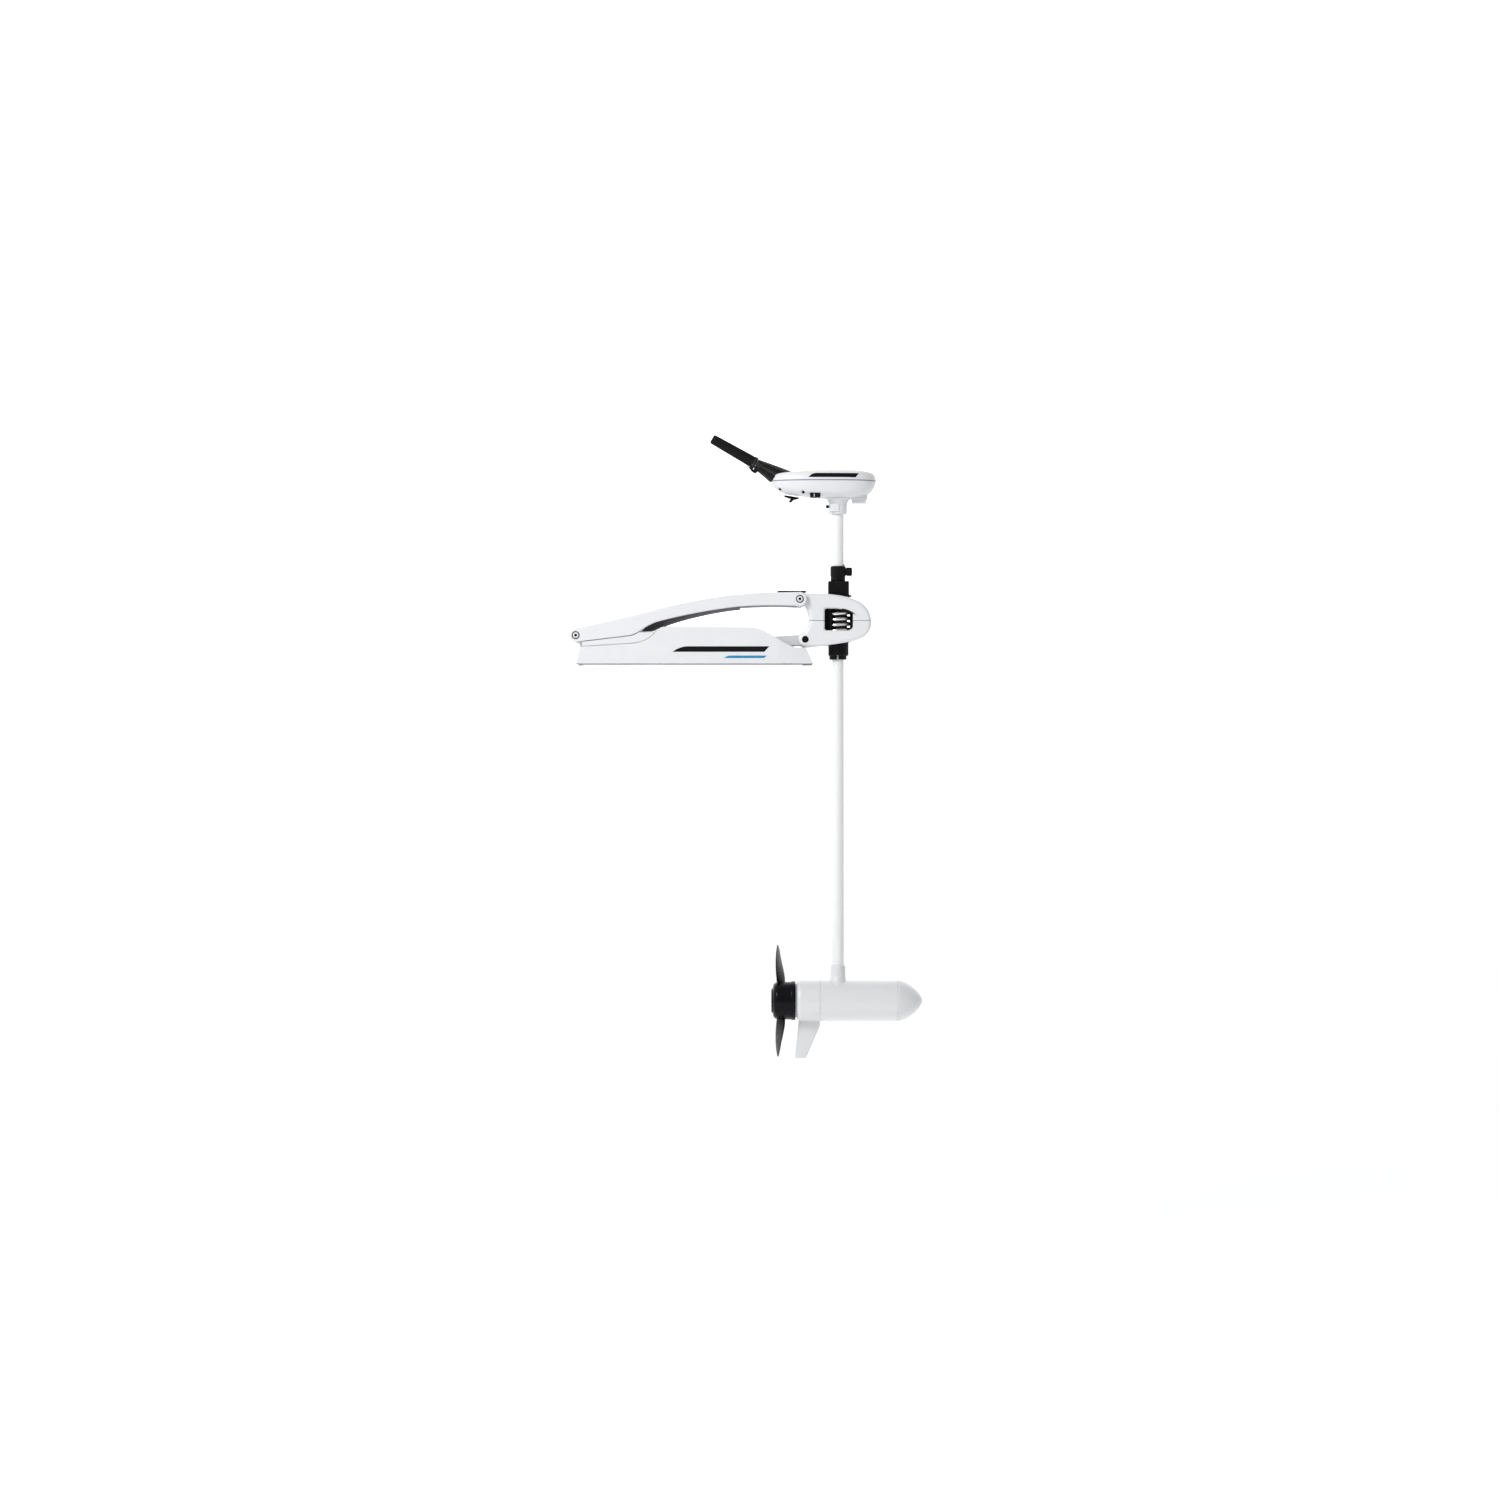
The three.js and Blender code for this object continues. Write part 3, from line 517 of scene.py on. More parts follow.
painted("white_paint", (0.69, 0.70, 0.715), 0.36)
drawn_tube("shaft_white", (0.76, 0.765, 0.765), 0.26)
painted("lower_unit_paint", (0.665, 0.672, 0.685), 0.42)
moulded("white_plastic", (0.68, 0.69, 0.705), 0.42, 0.5, 1300, 0.04, 0.012)
# Painted shade: the darker grey for the arms' inner faces.
painted("painted_shade_inside", (0.46, 0.455, 0.49), 0.55, coat=0.0)
moulded("black_plastic", (0.0055, 0.0055, 0.006), 0.36, 0.13)
moulded("hub_plastic", (0.004, 0.004, 0.005), 0.26, 0.1, 900, 0.04)
rubbery("black_rubber", (0.0055, 0.0055, 0.006), 0.58)
shade_strip_rubber()
moulded("polymer", (0.03, 0.03, 0.033), 0.5, 0.3, 1000)
metal("steel", (0.62, 0.63, 0.65), 0.28)
metal("black_steel", (0.03, 0.03, 0.033), 0.2)
spring_with_painted_highlight()
moulded("ferrite", (0.055, 0.055, 0.062), 0.7, 0.3, 700, 0.2)
wound_copper()
rubbery("carbon", (0.02, 0.02, 0.021), 0.7)
board_laminate()
moulded("seam_trim", (0.22, 0.215, 0.31), 0.45, 0.4, 1200, 0.03)
moulded("stripe_black", (0.004, 0.004, 0.005), 0.4, 0.12, 1800, 0.02)
moulded("stripe_blue", (0.014, 0.21, 0.42), 0.4, 0.3, 1800, 0.02)
# Painted shade: the dark brown of the rings round the arm pivot bolts.
moulded("painted_shade_ring", (0.06, 0.045, 0.055), 0.4, 0.3, 1200, 0.03)
moulded("mark_grey", (0.09, 0.13, 0.17), 0.5, 0.3, 1800, 0.02)

# ---------------------------------------------------------------- pieces


def finish_piece(obj, name, body, look, *replaced, slot=None, crease=35):
    """Names a piece, smooths it, paints it and makes it ride on its body in place of its CAD nodes."""
    obj.name = name
    obj.data.name = name
    obj.data.shade_smooth()
    obj.data.set_sharp_from_angle(angle=math.radians(crease))
    weighted = obj.modifiers.new("normals", "WEIGHTED_NORMAL")
    weighted.keep_sharp = True
    obj.data.materials.clear()
    obj.data.materials.append(LOOKS[look])
    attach(obj, body)
    if replaced:
        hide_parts(*replaced)

# ---------------------------------------------------------------- base

COVER_PATH = (
    "M -283 1.4 L -274 42 L -148 50 C -118 52.5 -98 68 -86 84 Q -80 90 -67 90 "
    "L 130 88.8 C 175 89 212 43 246 40 L 264.7 39.6 Q 274 24 283 1.4")
COVER_POCKET_PATH = (
    "M -270 -1 L -264 37 L -146 44.5 C -114 47 -92 65 -78 82 L 125 82 C 171 82 209 37 246 34 "
    "L 256 34 L 270 -1")
RIM_PATH = (
    "M -267 38 L -268 53.8 L -156 67.4 C -144 68.8 -139 72.4 -134 76.4 L -99 77 L -95 66 "
    "C -105 58 -120 46 -146 44")
RIM_GROOVE = 1.1
BOTTOM_EDGE_PATH = "M -282 0 L -282 1.3 L 282 1.3 L 282 0"


def end_wedge(side, deeper=0.0):
    """What is cut away so that a cover draws in towards its outboard end."""
    corners = [(190, 71 - deeper), (290, 60.5 - deeper), (290, 85), (190, 85)]
    return loft([[(x, side * y, z) for x, y in corners] for z in (-5, 100)])


def side_cover(name, side):
    """A thin-walled cover with a raised rim along its inboard shoulder, set off by a groove."""
    cover = prism(outline(COVER_PATH), *y_span(side, COVER_INNER, SIDE_FACE))
    cut(cover, end_wedge(side))
    round_edges(cover, 3.6, 4, 20)
    pocket = prism(outline(COVER_POCKET_PATH), *y_span(side, COVER_INNER - 2, SIDE_FACE - COVER_WALL))
    cut(cover, cut(pocket, end_wedge(side, COVER_WALL)))
    rim = rounded_prism(outline(RIM_PATH), *y_span(side, COVER_INNER, SIDE_FACE - RIM_SETBACK), 1.0, 3)
    cut(rim, prism(inset(outline(COVER_PATH), -RIM_GROOVE), *y_span(side, 62, 72)))
    join(cover, rim)
    finish_piece(cover, f"cover_{name}", "base", "white_plastic", f"side_cover_{name}")


# A thin black strip along the bottom edge of each cover.
def cover_bottom_strip(name, side):
    strip = prism(outline(BOTTOM_EDGE_PATH), *y_span(side, COVER_INNER + 1, SIDE_FACE - 0.4))
    cut(strip, end_wedge(side))
    finish_piece(strip, f"cover_bottom_line_{name}", "base", "black_rubber")


def slanted_bar(x0, x1, z0, z1, slant, y0, y1):
    """A bar with slanted ends and one tapered tail, in the XZ plane."""
    tail = (x1 - x0) * 0.16
    path = (
        f"M {x0} {z0} L {x1 - slant} {z0} L {x1} {z1} L {x0 + tail} {z1} "
        f"Q {x0 + tail * 0.45} {z1} {x0} {z0}")
    return prism(outline(path, 8), y0, y1)


def cover_stripes(name, side):
    black = slanted_bar(-52, 178, 30, 43, 12, *y_span(side, *STRIPE_SPAN))
    finish_piece(black, f"cover_stripe_{name}", "base", "stripe_black", slot="black_plastic")
    blue = slanted_bar(70, 172, 15, 21, 7, *y_span(side, *STRIPE_SPAN))
    finish_piece(blue, f"cover_pinstripe_{name}", "base", "stripe_blue", slot="white_plastic")


for near_or_far, y_sign in NEAR_AND_FAR:
    side_cover(near_or_far, y_sign)
    cover_bottom_strip(near_or_far, y_sign)
    cover_stripes(near_or_far, y_sign)

# ---------------------------------------------------------------- arms

ARM_PATH = (
    f"A {ARM_PIVOT[0]} {ARM_PIVOT[1]} 16 0.56 1.55 L -155 69 C -135 71.5 -120 92 -88 102 "
    f"C -30 117 40 131 108 138 Q 150 141 200 141 A {HOUSING_PIVOT[0]} {HOUSING_PIVOT[1]} 17 -0.55 0.45 "
    "L 204 171.6 C 100 173 -20 152 -132 120")
# Outline of the dark strip under each arm, which is painted shade.
SHADE_STRIP_PATH = (
    "M -129 77 Q -112 97 -88 106 C -30 121 40 135 108 142 L 108 134.5 C 40 127 -20 112 -65 97 L -96 84")


def paint_shade_inside(arm, side):
    """The face towards the middle plane gets a darker grey, which is painted shade for the shadow between
    the arms.
    """
    arm.data.materials.append(LOOKS["painted_shade_inside"])
    for polygon in arm.data.polygons:
        if polygon.normal.y * side < -0.9:
            polygon.material_index = 1


def upper_arm(name, side):
    arm = rounded_prism(outline(ARM_PATH), *y_span(side, ARM_INNER, SIDE_FACE), 3.2)
    cut(arm, *[pivot_rod(pivot, side, 66, 72, HEAD_RADIUS + 0.5) for pivot in (ARM_PIVOT, HOUSING_PIVOT)])
    cut(arm, *[pivot_rod(pivot, side, 56, 70, PIVOT_RADIUS + GAP) for pivot in (ARM_PIVOT, HOUSING_PIVOT)])
    finish_piece(arm, f"arm_{name}", "upper_arms", "white_paint", f"upper_arm_{name}")
    paint_shade_inside(arm, side)


# A dark strip along the inside of each arm's lower edge, put there as painted shade for the shadow under the
# arms.
def arm_bumper(name, side):
    strip = outline(SHADE_STRIP_PATH)
    bumper = prism(strip, *y_span(side, 36, 48))
    wide = common(prism(strip, *y_span(side, 36.5, 57.7)), box(-75, 109, *y_span(side, 47, 57.7), 93, 150))
    join(bumper, wide)
    round_edges(bumper, 1.0, 3, 35)
    finish_piece(bumper, f"bumper_{name}", "upper_arms", "grey_rubber", f"arm_bumper_{name}")


def pivot_bolt(label, pivot, side, inner):
    """A button head with a dark lining in its hexagon socket, in a dark brown ring; the lining and the ring
    are painted shade for the shadow in the socket and in the counterbore round the head.
    """
    bolt = pivot_lathe(pivot, side, [
        (0, inner), (7.2, inner), (PIVOT_RADIUS, inner + 1), (PIVOT_RADIUS, 66.8), (7.2, 66.9), (7.2, 68.8),
        (6.4, 69.7), (0, 69.9)])
    cut(bolt, pivot_rod(pivot, side, 67.2, 72, 3.9, HEXAGON))
    finish_piece(bolt, f"{label}_screw", "upper_arms", "white_paint", label, slot="steel")
    socket = pivot_rod(pivot, side, 67.2, 69.0, 3.85, HEXAGON)
    cut(socket, pivot_rod(pivot, side, 67.5, 70, 3.0, HEXAGON))
    finish_piece(socket, f"{label}_socket", "upper_arms", "black_steel", slot="steel")
    ring = pivot_lathe(pivot, side, [
        (7.4, 66.9), (HEAD_RADIUS, 66.9), (HEAD_RADIUS, 69.6), (8.8, 70.2), (7.9, 70.2), (7.4, 69.6)])
    finish_piece(ring, f"{label}_ring", "upper_arms", "painted_shade_ring", slot="black_plastic")


def arm_web():
    path = "M 70 155 Q 104 160.5 140 162 L 225 164 L 225 169.5 L 140 168 Q 104 166.4 70 161"
    web = prism(outline(path), -57.7, 57.7)
    round_edges(web, 1.2, 3)
    finish_piece(web, "arm_bridge", "upper_arms", "white_paint", "arm_web")


def release_lever():
    """A thin curved paddle with five finger ribs across its free end."""
    path = (
        "M 200 173.4 L 259 173.4 Q 265 173.6 267 175.2 Q 266 177.2 261 177.3 L 204 177.3 "
        "Q 198 177.1 197 175")
    paddle = prism(outline(path), -26, 26)
    round_edges(paddle, 1.1, 3)
    ribs = [rod(0.9, -20, 20, "Y", (x, 0, 177.0), 16) for x in range(234, 259, 6)]
    join(paddle, prism([(200, 170.3), (210, 170.5), (210, 174), (200, 174)], -14, 14), *ribs)
    finish_piece(paddle, "lever", "release_lever", "black_plastic", "release_lever")


def lower_arm():
    """A bar with a round eye at each end, drawn in a little between the eyes."""
    (x0, z0), (x1, z1) = LINK_BASE_PIVOT, LINK_HOUSING_PIVOT
    half, eye = 13.0, 18.0
    slope = math.atan2(z1 - z0, x1 - x0) / math.pi
    meet = math.asin(half / eye) / math.pi
    path = (f"A {x0} {z0} {eye} {slope + meet} {2 + slope - meet} "
            f"A {x1} {z1} {eye} {slope + meet - 1} {1 + slope - meet}")
    bar = rounded_prism(outline(path, 28), -LINK_HALF, LINK_HALF, 2.2)
    cut(bar, rod(6.3, -30, 30, "Y", (x0, 0, z0)), rod(8, -30, 30, "Y", (x1, 0, z1)))
    finish_piece(bar, "link_arm", "lower_arm", "white_paint", "lower_arm")


for near_or_far, y_sign in NEAR_AND_FAR:
    upper_arm(near_or_far, y_sign)
    arm_bumper(near_or_far, y_sign)
    pivot_bolt(f"arm_pivot_bolt_{near_or_far}", ARM_PIVOT, y_sign, 49.5)
    pivot_bolt(f"housing_pivot_bolt_{near_or_far}", HOUSING_PIVOT, y_sign, 40.5)
arm_web()
release_lever()
lower_arm()

# ---------------------------------------------------------------- breakaway housing

HOUSING_PATH = (
    "M 250.8 171 L 294 170.6 C 345 168 396 160 412 134 C 426 112 426 86 409 70 C 390 56 340 47 264 42 "
    f"A {LINK_HOUSING_PIVOT[0]} {LINK_HOUSING_PIVOT[1]} 18 -0.5 -1.45 C 277 92 277 122 260.4 144.5 "
    f"A {HOUSING_PIVOT[0]} {HOUSING_PIVOT[1]} 15 -0.28 -1.5")
WINDOW_PATH = (
    "M 316 81.5 Q 310 81.5 310 87.5 L 310 128 Q 310 134 316 134 C 340 134 360 134 378 122 L 378 90.5 "
    "Q 374 81.5 362 81.5")
STEP_PATH = (
    "M 314 79 Q 307.5 79 307.5 85.5 L 307.5 130 Q 307.5 136.5 314 136.5 C 344 136.5 366 135 386 119 "
    "C 391 110 391 97 386 88.5 Q 381 79 368 79")
CRESCENT_PATH = "M 352 133.6 C 366 131.6 376 126.5 386.5 116.8 C 378 122.5 366 126 352 127.6"


def ball_recess(radius, reach, up):
    """What is cut away above or below a ball about the breakaway centre."""
    low, high = (BREAKAWAY_Z + 10, 190) if up else (20, BREAKAWAY_Z - 10)
    return cut(column_rod(reach, low, high), breakaway_ball(radius, 64))


def housing_shell(upper):
    """The whole housing, of which one half is kept above or below the breakaway seam."""
    half = HOUSING_HALF
    shell = rounded_prism(outline(HOUSING_PATH, 18), -half, half, 9, 8)
    x, z = LINK_HOUSING_PIVOT
    for side in (-1, 1):
        cut(shell, prism(outline(STEP_PATH), *y_span(side, half - 2.6, 60)))
        cut(shell, prism(outline(CRESCENT_PATH, 10), *y_span(side, half - 8.3, 60)))
        cut(shell, pivot_rod(HOUSING_PIVOT, side, 40, 60, PIVOT_RADIUS + GAP))
        cut(shell, pivot_rod(LINK_HOUSING_PIVOT, side, 28, 60, PIVOT_RADIUS + GAP))
    cut(shell, prism(outline(WINDOW_PATH), -60, 60))
    cut(shell, column_rod(42.5, 74, 146, 72))
    cut(shell, column_rod(30, 30, 190))
    cut(shell, ball_recess(64.6, 41, True))
    cut(shell, ball_recess(51.8, 37, False))
    cut(shell, rod(20.5, -28.3, 28.3, "Y", (x, 0, z), 64))
    cut(shell, box(x - 24, x + 21.5, -28.3, 28.3, 30, z))
    seam = 0.5
    name, low, high = ("upper", BREAKAWAY_Z + seam, 200) if upper else ("lower", 30, BREAKAWAY_Z - seam)
    common(shell, box(200, 440, -60, 60, low, high))
    finish_piece(shell, f"housing_{name}", "housing", "white_paint", f"housing_{name}_shell")


def breakaway_spring():
    radius, wire, turns, low, high = 34.5, 4.0, 4.5, 78.6, 139.4
    steps = 48
    path = []
    for i in range(int(turns * steps) + 1):
        angle = math.pi + 2 * math.pi * i / steps
        path.append((COLUMN_X + radius * math.cos(angle), radius * math.sin(angle),
                     between(low, high, i / (turns * steps))))
    spring = swept(path, wire, 16)
    finish_piece(spring, "spring", "housing", "spring_steel", "breakaway_spring")


def spring_cage():
    """The dark sleeve that the spring sits in, and dark slivers in the crescent grooves beside its window,
    which are painted shade for the shadow in those grooves.
    """
    cage = tube(39.3, 41.8, 74.4, 145.6, "Z", COLUMN, 72)
    cut(cage, column_box(-15, 29, -50, 50, 81.5, 131))
    round_edges(cage, 0.6, 2, 50)
    finish_piece(cage, "cage", "housing", "black_plastic", "spring_cage")
    for name, side in NEAR_AND_FAR:
        # Painted shade: a black sliver in each crescent groove.
        shade_sliver = prism(outline(CRESCENT_PATH, 10), *y_span(side, HOUSING_HALF - 8, HOUSING_HALF - 2.2))
        finish_piece(shade_sliver, f"window_shade_sliver_{name}", "housing", "black_rubber")


def lower_pivot_screw(name, side):
    """A socket head screw sunk in a dark ring, which is painted shade for the shadow in the counterbore
    round the head.
    """
    label = f"lower_pivot_screw_{name}"
    screw = pivot_lathe(LINK_HOUSING_PIVOT, side, [
        (0, 29), (7, 29), (7.9, 30), (7.9, 52), (5.2, 52.2), (5.2, 54.6), (4.6, 55.2), (0, 55.2)])
    cut(screw, pivot_rod(LINK_HOUSING_PIVOT, side, 52.6, 58, 3, HEXAGON))
    finish_piece(screw, f"{label}_head", "housing", "black_steel", label, slot="steel")
    # Painted shade: the dark ring in the counterbore round the head.
    ring = pivot_lathe(LINK_HOUSING_PIVOT, side, [
        (5.4, 52.2), (7.9, 52.2), (7.9, 55.4), (7.4, 56), (6, 56), (5.4, 55.4)])
    finish_piece(ring, f"{label}_ring", "housing", "black_plastic")


housing_shell(True)
housing_shell(False)
breakaway_spring()
spring_cage()
for near_or_far, y_sign in NEAR_AND_FAR:
    lower_pivot_screw(near_or_far, y_sign)

# ---------------------------------------------------------------- column


def dome_flange(inner_ball, outer_ball, bore, reach, up):
    """A slice of a spherical shell about the breakaway centre, between two distances from the axis."""
    sign = 1 if up else -1
    profile = []
    for ball, radii in ((inner_ball, (bore, reach)), (outer_ball, (reach, bore))):
        for step in range(9):
            radius = between(*radii, step / 8)
            profile.append((radius, BREAKAWAY_Z + sign * math.sqrt(ball ** 2 - radius ** 2)))
    return lathe(profile, "Z", COLUMN, 72)


def upper_seat():
    """A block with ribbed sides above a flange that slides on the housing."""
    block = round_edges(column_box(-24, 26, -25, 25, 160, 200.7), 2.6, 4)
    grooves = [
        column_box(x - 1.1, x + 1.1, *y_span(side, 24, 30), 172, 192)
        for x in range(-15, 16, 6) for side in (-1, 1)]
    cut(block, breakaway_ball(66.6), *grooves)
    brow = round_edges(column_box(-23, 25, -24, 24, 194, 197), 0.8, 2)
    flange = round_edges(dome_flange(66.6, 70, 18, 33, True), 0.8, 2, 40)
    join(block, flange, brow)
    cut(block, column_rod(GUIDE_RADIUS + GAP, 100, 210))
    finish_piece(block, "seat_upper", "carrier", "black_plastic", "upper_seat")


def lower_seat():
    """A fluted boss with a slotted clamp nose, under a flange that slides on the housing."""
    flange = dome_flange(53.1, 56.5, 18, 30, False)
    boss_centre = (COLUMN_X + 1, 0, 0)
    boss = round_edges(rod(24.6, 22, 70, "Z", boss_centre, 72), 1.4, 3)
    flutes = rods_around(around(12), 25.6, 2.2, 26, 60, "Z", boss_centre, 20)
    cut(boss, breakaway_ball(53.1), *flutes)
    nose = round_edges(column_rod(21, 12.6, 24, 72), 1.2, 3)
    join(flange, boss, nose)
    cut(flange, column_rod(GUIDE_RADIUS + GAP, 25, 100), column_rod(SHAFT_RADIUS + 0.6, 0, 30))
    cut(flange, column_box(-3.5, 1, -40, 40, 0, 23))
    finish_piece(flange, "seat_lower", "carrier", "black_plastic", "lower_seat")


KNOB_Z = 224


def depth_collar():
    """A clamp band with ribs round it, a knob ear on one side and a thumb tab on top."""
    band = lathe([
        (14, 201.3), (16.6, 201.3), (17.8, 203), (17.8, 212), (18.6, 213), (18.6, 235.6), (17.4, 237),
        (14, 237)], "Z", COLUMN, 72)
    ribs = rods_around(around(20)[2:19], 18.1, 0.9, 215, 233, "Z", COLUMN, 16)
    ear = round_edges(column_box(10, 19.3, -9, 9, 214, 234), 1.2, 3)
    tab = round_edges(column_box(7, 16, -6, 6, 230, 242), 1.4, 3)
    join(band, ear, tab, *ribs)
    cut(band, column_rod(SHAFT_RADIUS + GAP, 190, 250))
    cut(band, rod(3.3, 12, 24, "X", (COLUMN_X, 0, KNOB_Z), 32))
    cut(band, column_box(-30, -12, -0.8, 0.8, 190, 250))
    finish_piece(band, "collar", "depth_collar", "black_plastic", "depth_collar")


def depth_knob():
    """A lobed thumb knob on a short screw."""
    x, z = COLUMN_X, KNOB_Z
    rings = []
    for along, radius in ((19.7, 8.6), (20.6, 9.6), (21.6, 9.8), (31.4, 9.8), (33.2, 9.0), (34, 7.4)):
        ring = []
        for angle in around(96):
            lobed = radius + 0.75 * math.cos(9 * angle)
            ring.append((x + along, lobed * math.cos(angle), z + lobed * math.sin(angle)))
        rings.append(ring)
    knob = loft(rings)
    cut(knob, rod(5, 33, 36, "X", (x, 0, z), 40))
    join(knob, rod(3, 16.5, 22, "X", (x, 0, z), 32))
    finish_piece(knob, "knob", "depth_knob", "black_plastic", "depth_knob", crease=50)


def shaft_tube():
    shaft = tube(11, SHAFT_RADIUS, -750, 415, "Z", COLUMN, 96)
    finish_piece(shaft, "shaft", "shaft", "shaft_white", "shaft_tube")


upper_seat()
lower_seat()
depth_collar()
depth_knob()
shaft_tube()

# ---------------------------------------------------------------- control head

# Levels of the head: [height from the seam, back end, front end, half width].
LOWER_LEVELS = [
    [-40, -60, 40, 30], [-35, -93, 62, 44], [-29, -128, 76, 52], [-20, -147, 84, 57], [-10, -156, 89, 60.5],
    [-1.3, -160.6, 91, 61.9]]
UPPER_LEVELS = [
    [1.3, -160.6, 91, 61.9], [10, -158, 89.5, 60.5], [18, -149, 84, 56], [22.2, -114, 75, 49],
    [25.6, -86, 58, 38]]
WALL = 3.0


def head_rings(levels, shrink=0.0, lift=0.0):
    """Rings round the head at smoothly spaced levels, drawn in and lifted by the amounts given."""
    rings = []
    for z, back, front, half in smooth_rows(levels):
        ring = []
        for angle in around(80):
            along = signed_power(math.cos(angle), 0.8) * ((front - back) / 2 - shrink)
            across = signed_power(math.sin(angle), 0.8) * (half - shrink)
            ring.append((COLUMN_X + (back + front) / 2 + along, across, SEAM_Z + z + lift))
        rings.append(ring)
    return rings


def head_solid(levels, shrink=0.0, lift=0.0):
    return loft(head_rings(levels, shrink, lift))


def head_box(x0, x1, y0, y1, z0, z1):
    return box(COLUMN_X + x0, COLUMN_X + x1, y0, y1, SEAM_Z + z0, SEAM_Z + z1)


# From the column and the seam: x, half spacing and bottom height of each pair of screws.
SCREW_PLACES = ((-139, 27, -23), (-84, 47, -32))
# From the column and the seam: the switch's two x, two y and two z.
SWITCH = (-67, -44, -50, -40, -41, -31)


def lower_shell():
    shell = head_solid(LOWER_LEVELS)
    cut(shell, head_solid(LOWER_LEVELS, WALL, WALL))
    x0, x1, _, y1, z0, z1 = SWITCH
    cut(shell, column_rod(SHAFT_RADIUS + GAP, SEAM_Z - 60, SEAM_Z - 20, 48))
    cut(shell, head_box(x0 - 1.2, x1 + 1.2, -60, y1 + 3, z0 - 1.2, z1 + 1.2))
    for x, half, _ in SCREW_PLACES:
        for side in (-1, 1):
            cut(shell, rod(3.6, SEAM_Z - 60, SEAM_Z + 8, "Z", (COLUMN_X + x, side * half, 0), 32))
    finish_piece(shell, "head_base", "shaft", "white_plastic", "head_lower_shell")


def upper_cover():
    cover = head_solid(UPPER_LEVELS)
    cut(cover, head_solid(UPPER_LEVELS, WALL, -WALL))
    finish_piece(cover, "head_cover", "shaft", "white_plastic", "head_upper_cover")


def seam_trim():
    """The pale violet strip between the two shells."""
    section = [-161, 91, 62]
    heights = ((-1.25, 0.5), (-1.0, -0.1), (1.0, -0.1), (1.25, 0.5))
    trim = loft([head_rings([[z] + section] * 2, shrink)[0] for z, shrink in heights])
    cut(trim, loft([head_rings([[z] + section] * 2, WALL)[0] for z in (-3, 3)]))
    finish_piece(trim, "head_seam", "shaft", "seam_trim", slot="white_plastic", crease=50)


def head_stripe(name, side):
    """A slanted bar laid on the cover's curved side."""
    skin = head_solid(UPPER_LEVELS, -0.3)
    cut(skin, head_solid(UPPER_LEVELS, 0.4))
    common(skin, slanted_bar(271, 392, SEAM_Z + 6.5, SEAM_Z + 16.5, 8, *y_span(side, 30, 70)))
    finish_piece(skin, f"head_stripe_{name}", "shaft", "stripe_black", slot="black_plastic")


GLAND_Z = SEAM_Z - 60.4


def head_stem():
    """A neck that flares into the head, with a block for the cable gland on its near side."""
    foot, shoulder = SEAM_Z - 78.7, SEAM_Z - 40.4
    stem = lathe(
        [(13, foot), (20, foot), (21.4, foot + 1), (22, foot + 2.6), (22, foot + 5), (21.2, foot + 6),
         (21.2, foot + 7), (22, foot + 8), (22, SEAM_Z - 58), (22.6, SEAM_Z - 53), (25, SEAM_Z - 47),
         (28, SEAM_Z - 43), (31, shoulder), (13, shoulder)], "Z", COLUMN, 80)
    join(stem, round_edges(head_box(-19, 2, -24.4, -12, -73, -54), 1.2, 3))
    join(stem, round_edges(head_box(-12, -5, -25, -20, -68, -60), 0.7, 3))
    cut(stem, column_rod(SHAFT_RADIUS + GAP, foot - 5, shoulder + 5))
    cut(stem, rod(3.8, COLUMN_X - 30, COLUMN_X - 15, "X", (0, 0, GLAND_Z), 32))
    finish_piece(stem, "stem", "shaft", "white_plastic", "head_stem")


def cable_gland():
    gland = lathe([
        (0, -18), (3.5, -18), (3.5, -25), (4.6, -25.6), (4.6, -27.4), (3.6, -28.4), (3, -29), (2, -29),
        (1.6, -27.5), (0, -27.5)], "X", (COLUMN_X, 0, GLAND_Z), 40)
    finish_piece(gland, "gland", "shaft", "black_rubber", "cable_gland")


def accessory_port():
    """A block with a narrower lower step and a flat face underneath."""
    block = round_edges(head_box(31, 70, -16, 16, -44.5, -20), 1.6, 4)
    join(block, round_edges(head_box(33, 67.5, -14, 14, -53, -40), 1.2, 3))
    cut(block, head_solid(LOWER_LEVELS + UPPER_LEVELS, -0.5))
    finish_piece(block, "port", "shaft", "white_plastic", "accessory_port")


def tilt_latch():
    """A hooked finger lever under the head, ribbed where the finger pulls."""
    x, z = COLUMN_X, SEAM_Z
    path = (
        "M -129 -33 L -94 -38.5 L -94 -42 Q -100 -43 -106 -44 Q -109 -47 -111 -49.6 L -118 -50 "
        "Q -117 -45 -113 -42 L -129 -37")
    latch = prism([(x + across, z + up) for across, up in outline(path, 8)], -9, 9)
    cut(latch, head_solid(LOWER_LEVELS, -0.5))
    round_edges(latch, 0.8, 3, 35)
    ribs = [rod(0.7, -8, 8, "Y", (x - 112.8 - k * 1.9, 0, z - 50 + k * 0.1), 12) for k in range(3)]
    join(latch, *ribs)
    finish_piece(latch, "latch", "tilt_latch", "black_plastic", "tilt_latch")


def mode_switch():
    """A rocker with a pale centre line, in a thin bezel."""
    x0, x1, y0, y1, z0, z1 = SWITCH
    rocker = round_edges(head_box(*SWITCH), 1.0, 3)
    x, z = COLUMN_X + (x0 + x1) / 2, SEAM_Z + (z0 + z1) / 2
    cut(rocker, rod(30, z - 3.4, z + 3.4, "Z", (x, y0 - 28.6, 0), 96))
    finish_piece(rocker, "rocker", "mode_switch", "black_plastic", "mode_switch")
    line = head_box((x0 + x1) / 2 - 3.2, (x0 + x1) / 2 - 1.6, y0 - 0.1, y0 + 2.4, -39.6, -32.4)
    finish_piece(line, "rocker_line", "mode_switch", "white_plastic")
    bezel = round_edges(head_box(x0 - 1.1, x1 + 1.1, y0 + 1.4, y0 + 4.5, z0 - 1.1, z1 + 1.1), 0.5, 2)
    cut(bezel, head_box(x0 - 0.35, x1 + 0.35, y0 - 4, y1, z0 - 0.35, z1 + 0.35))
    finish_piece(bezel, "switch_bezel", "shaft", "black_plastic")


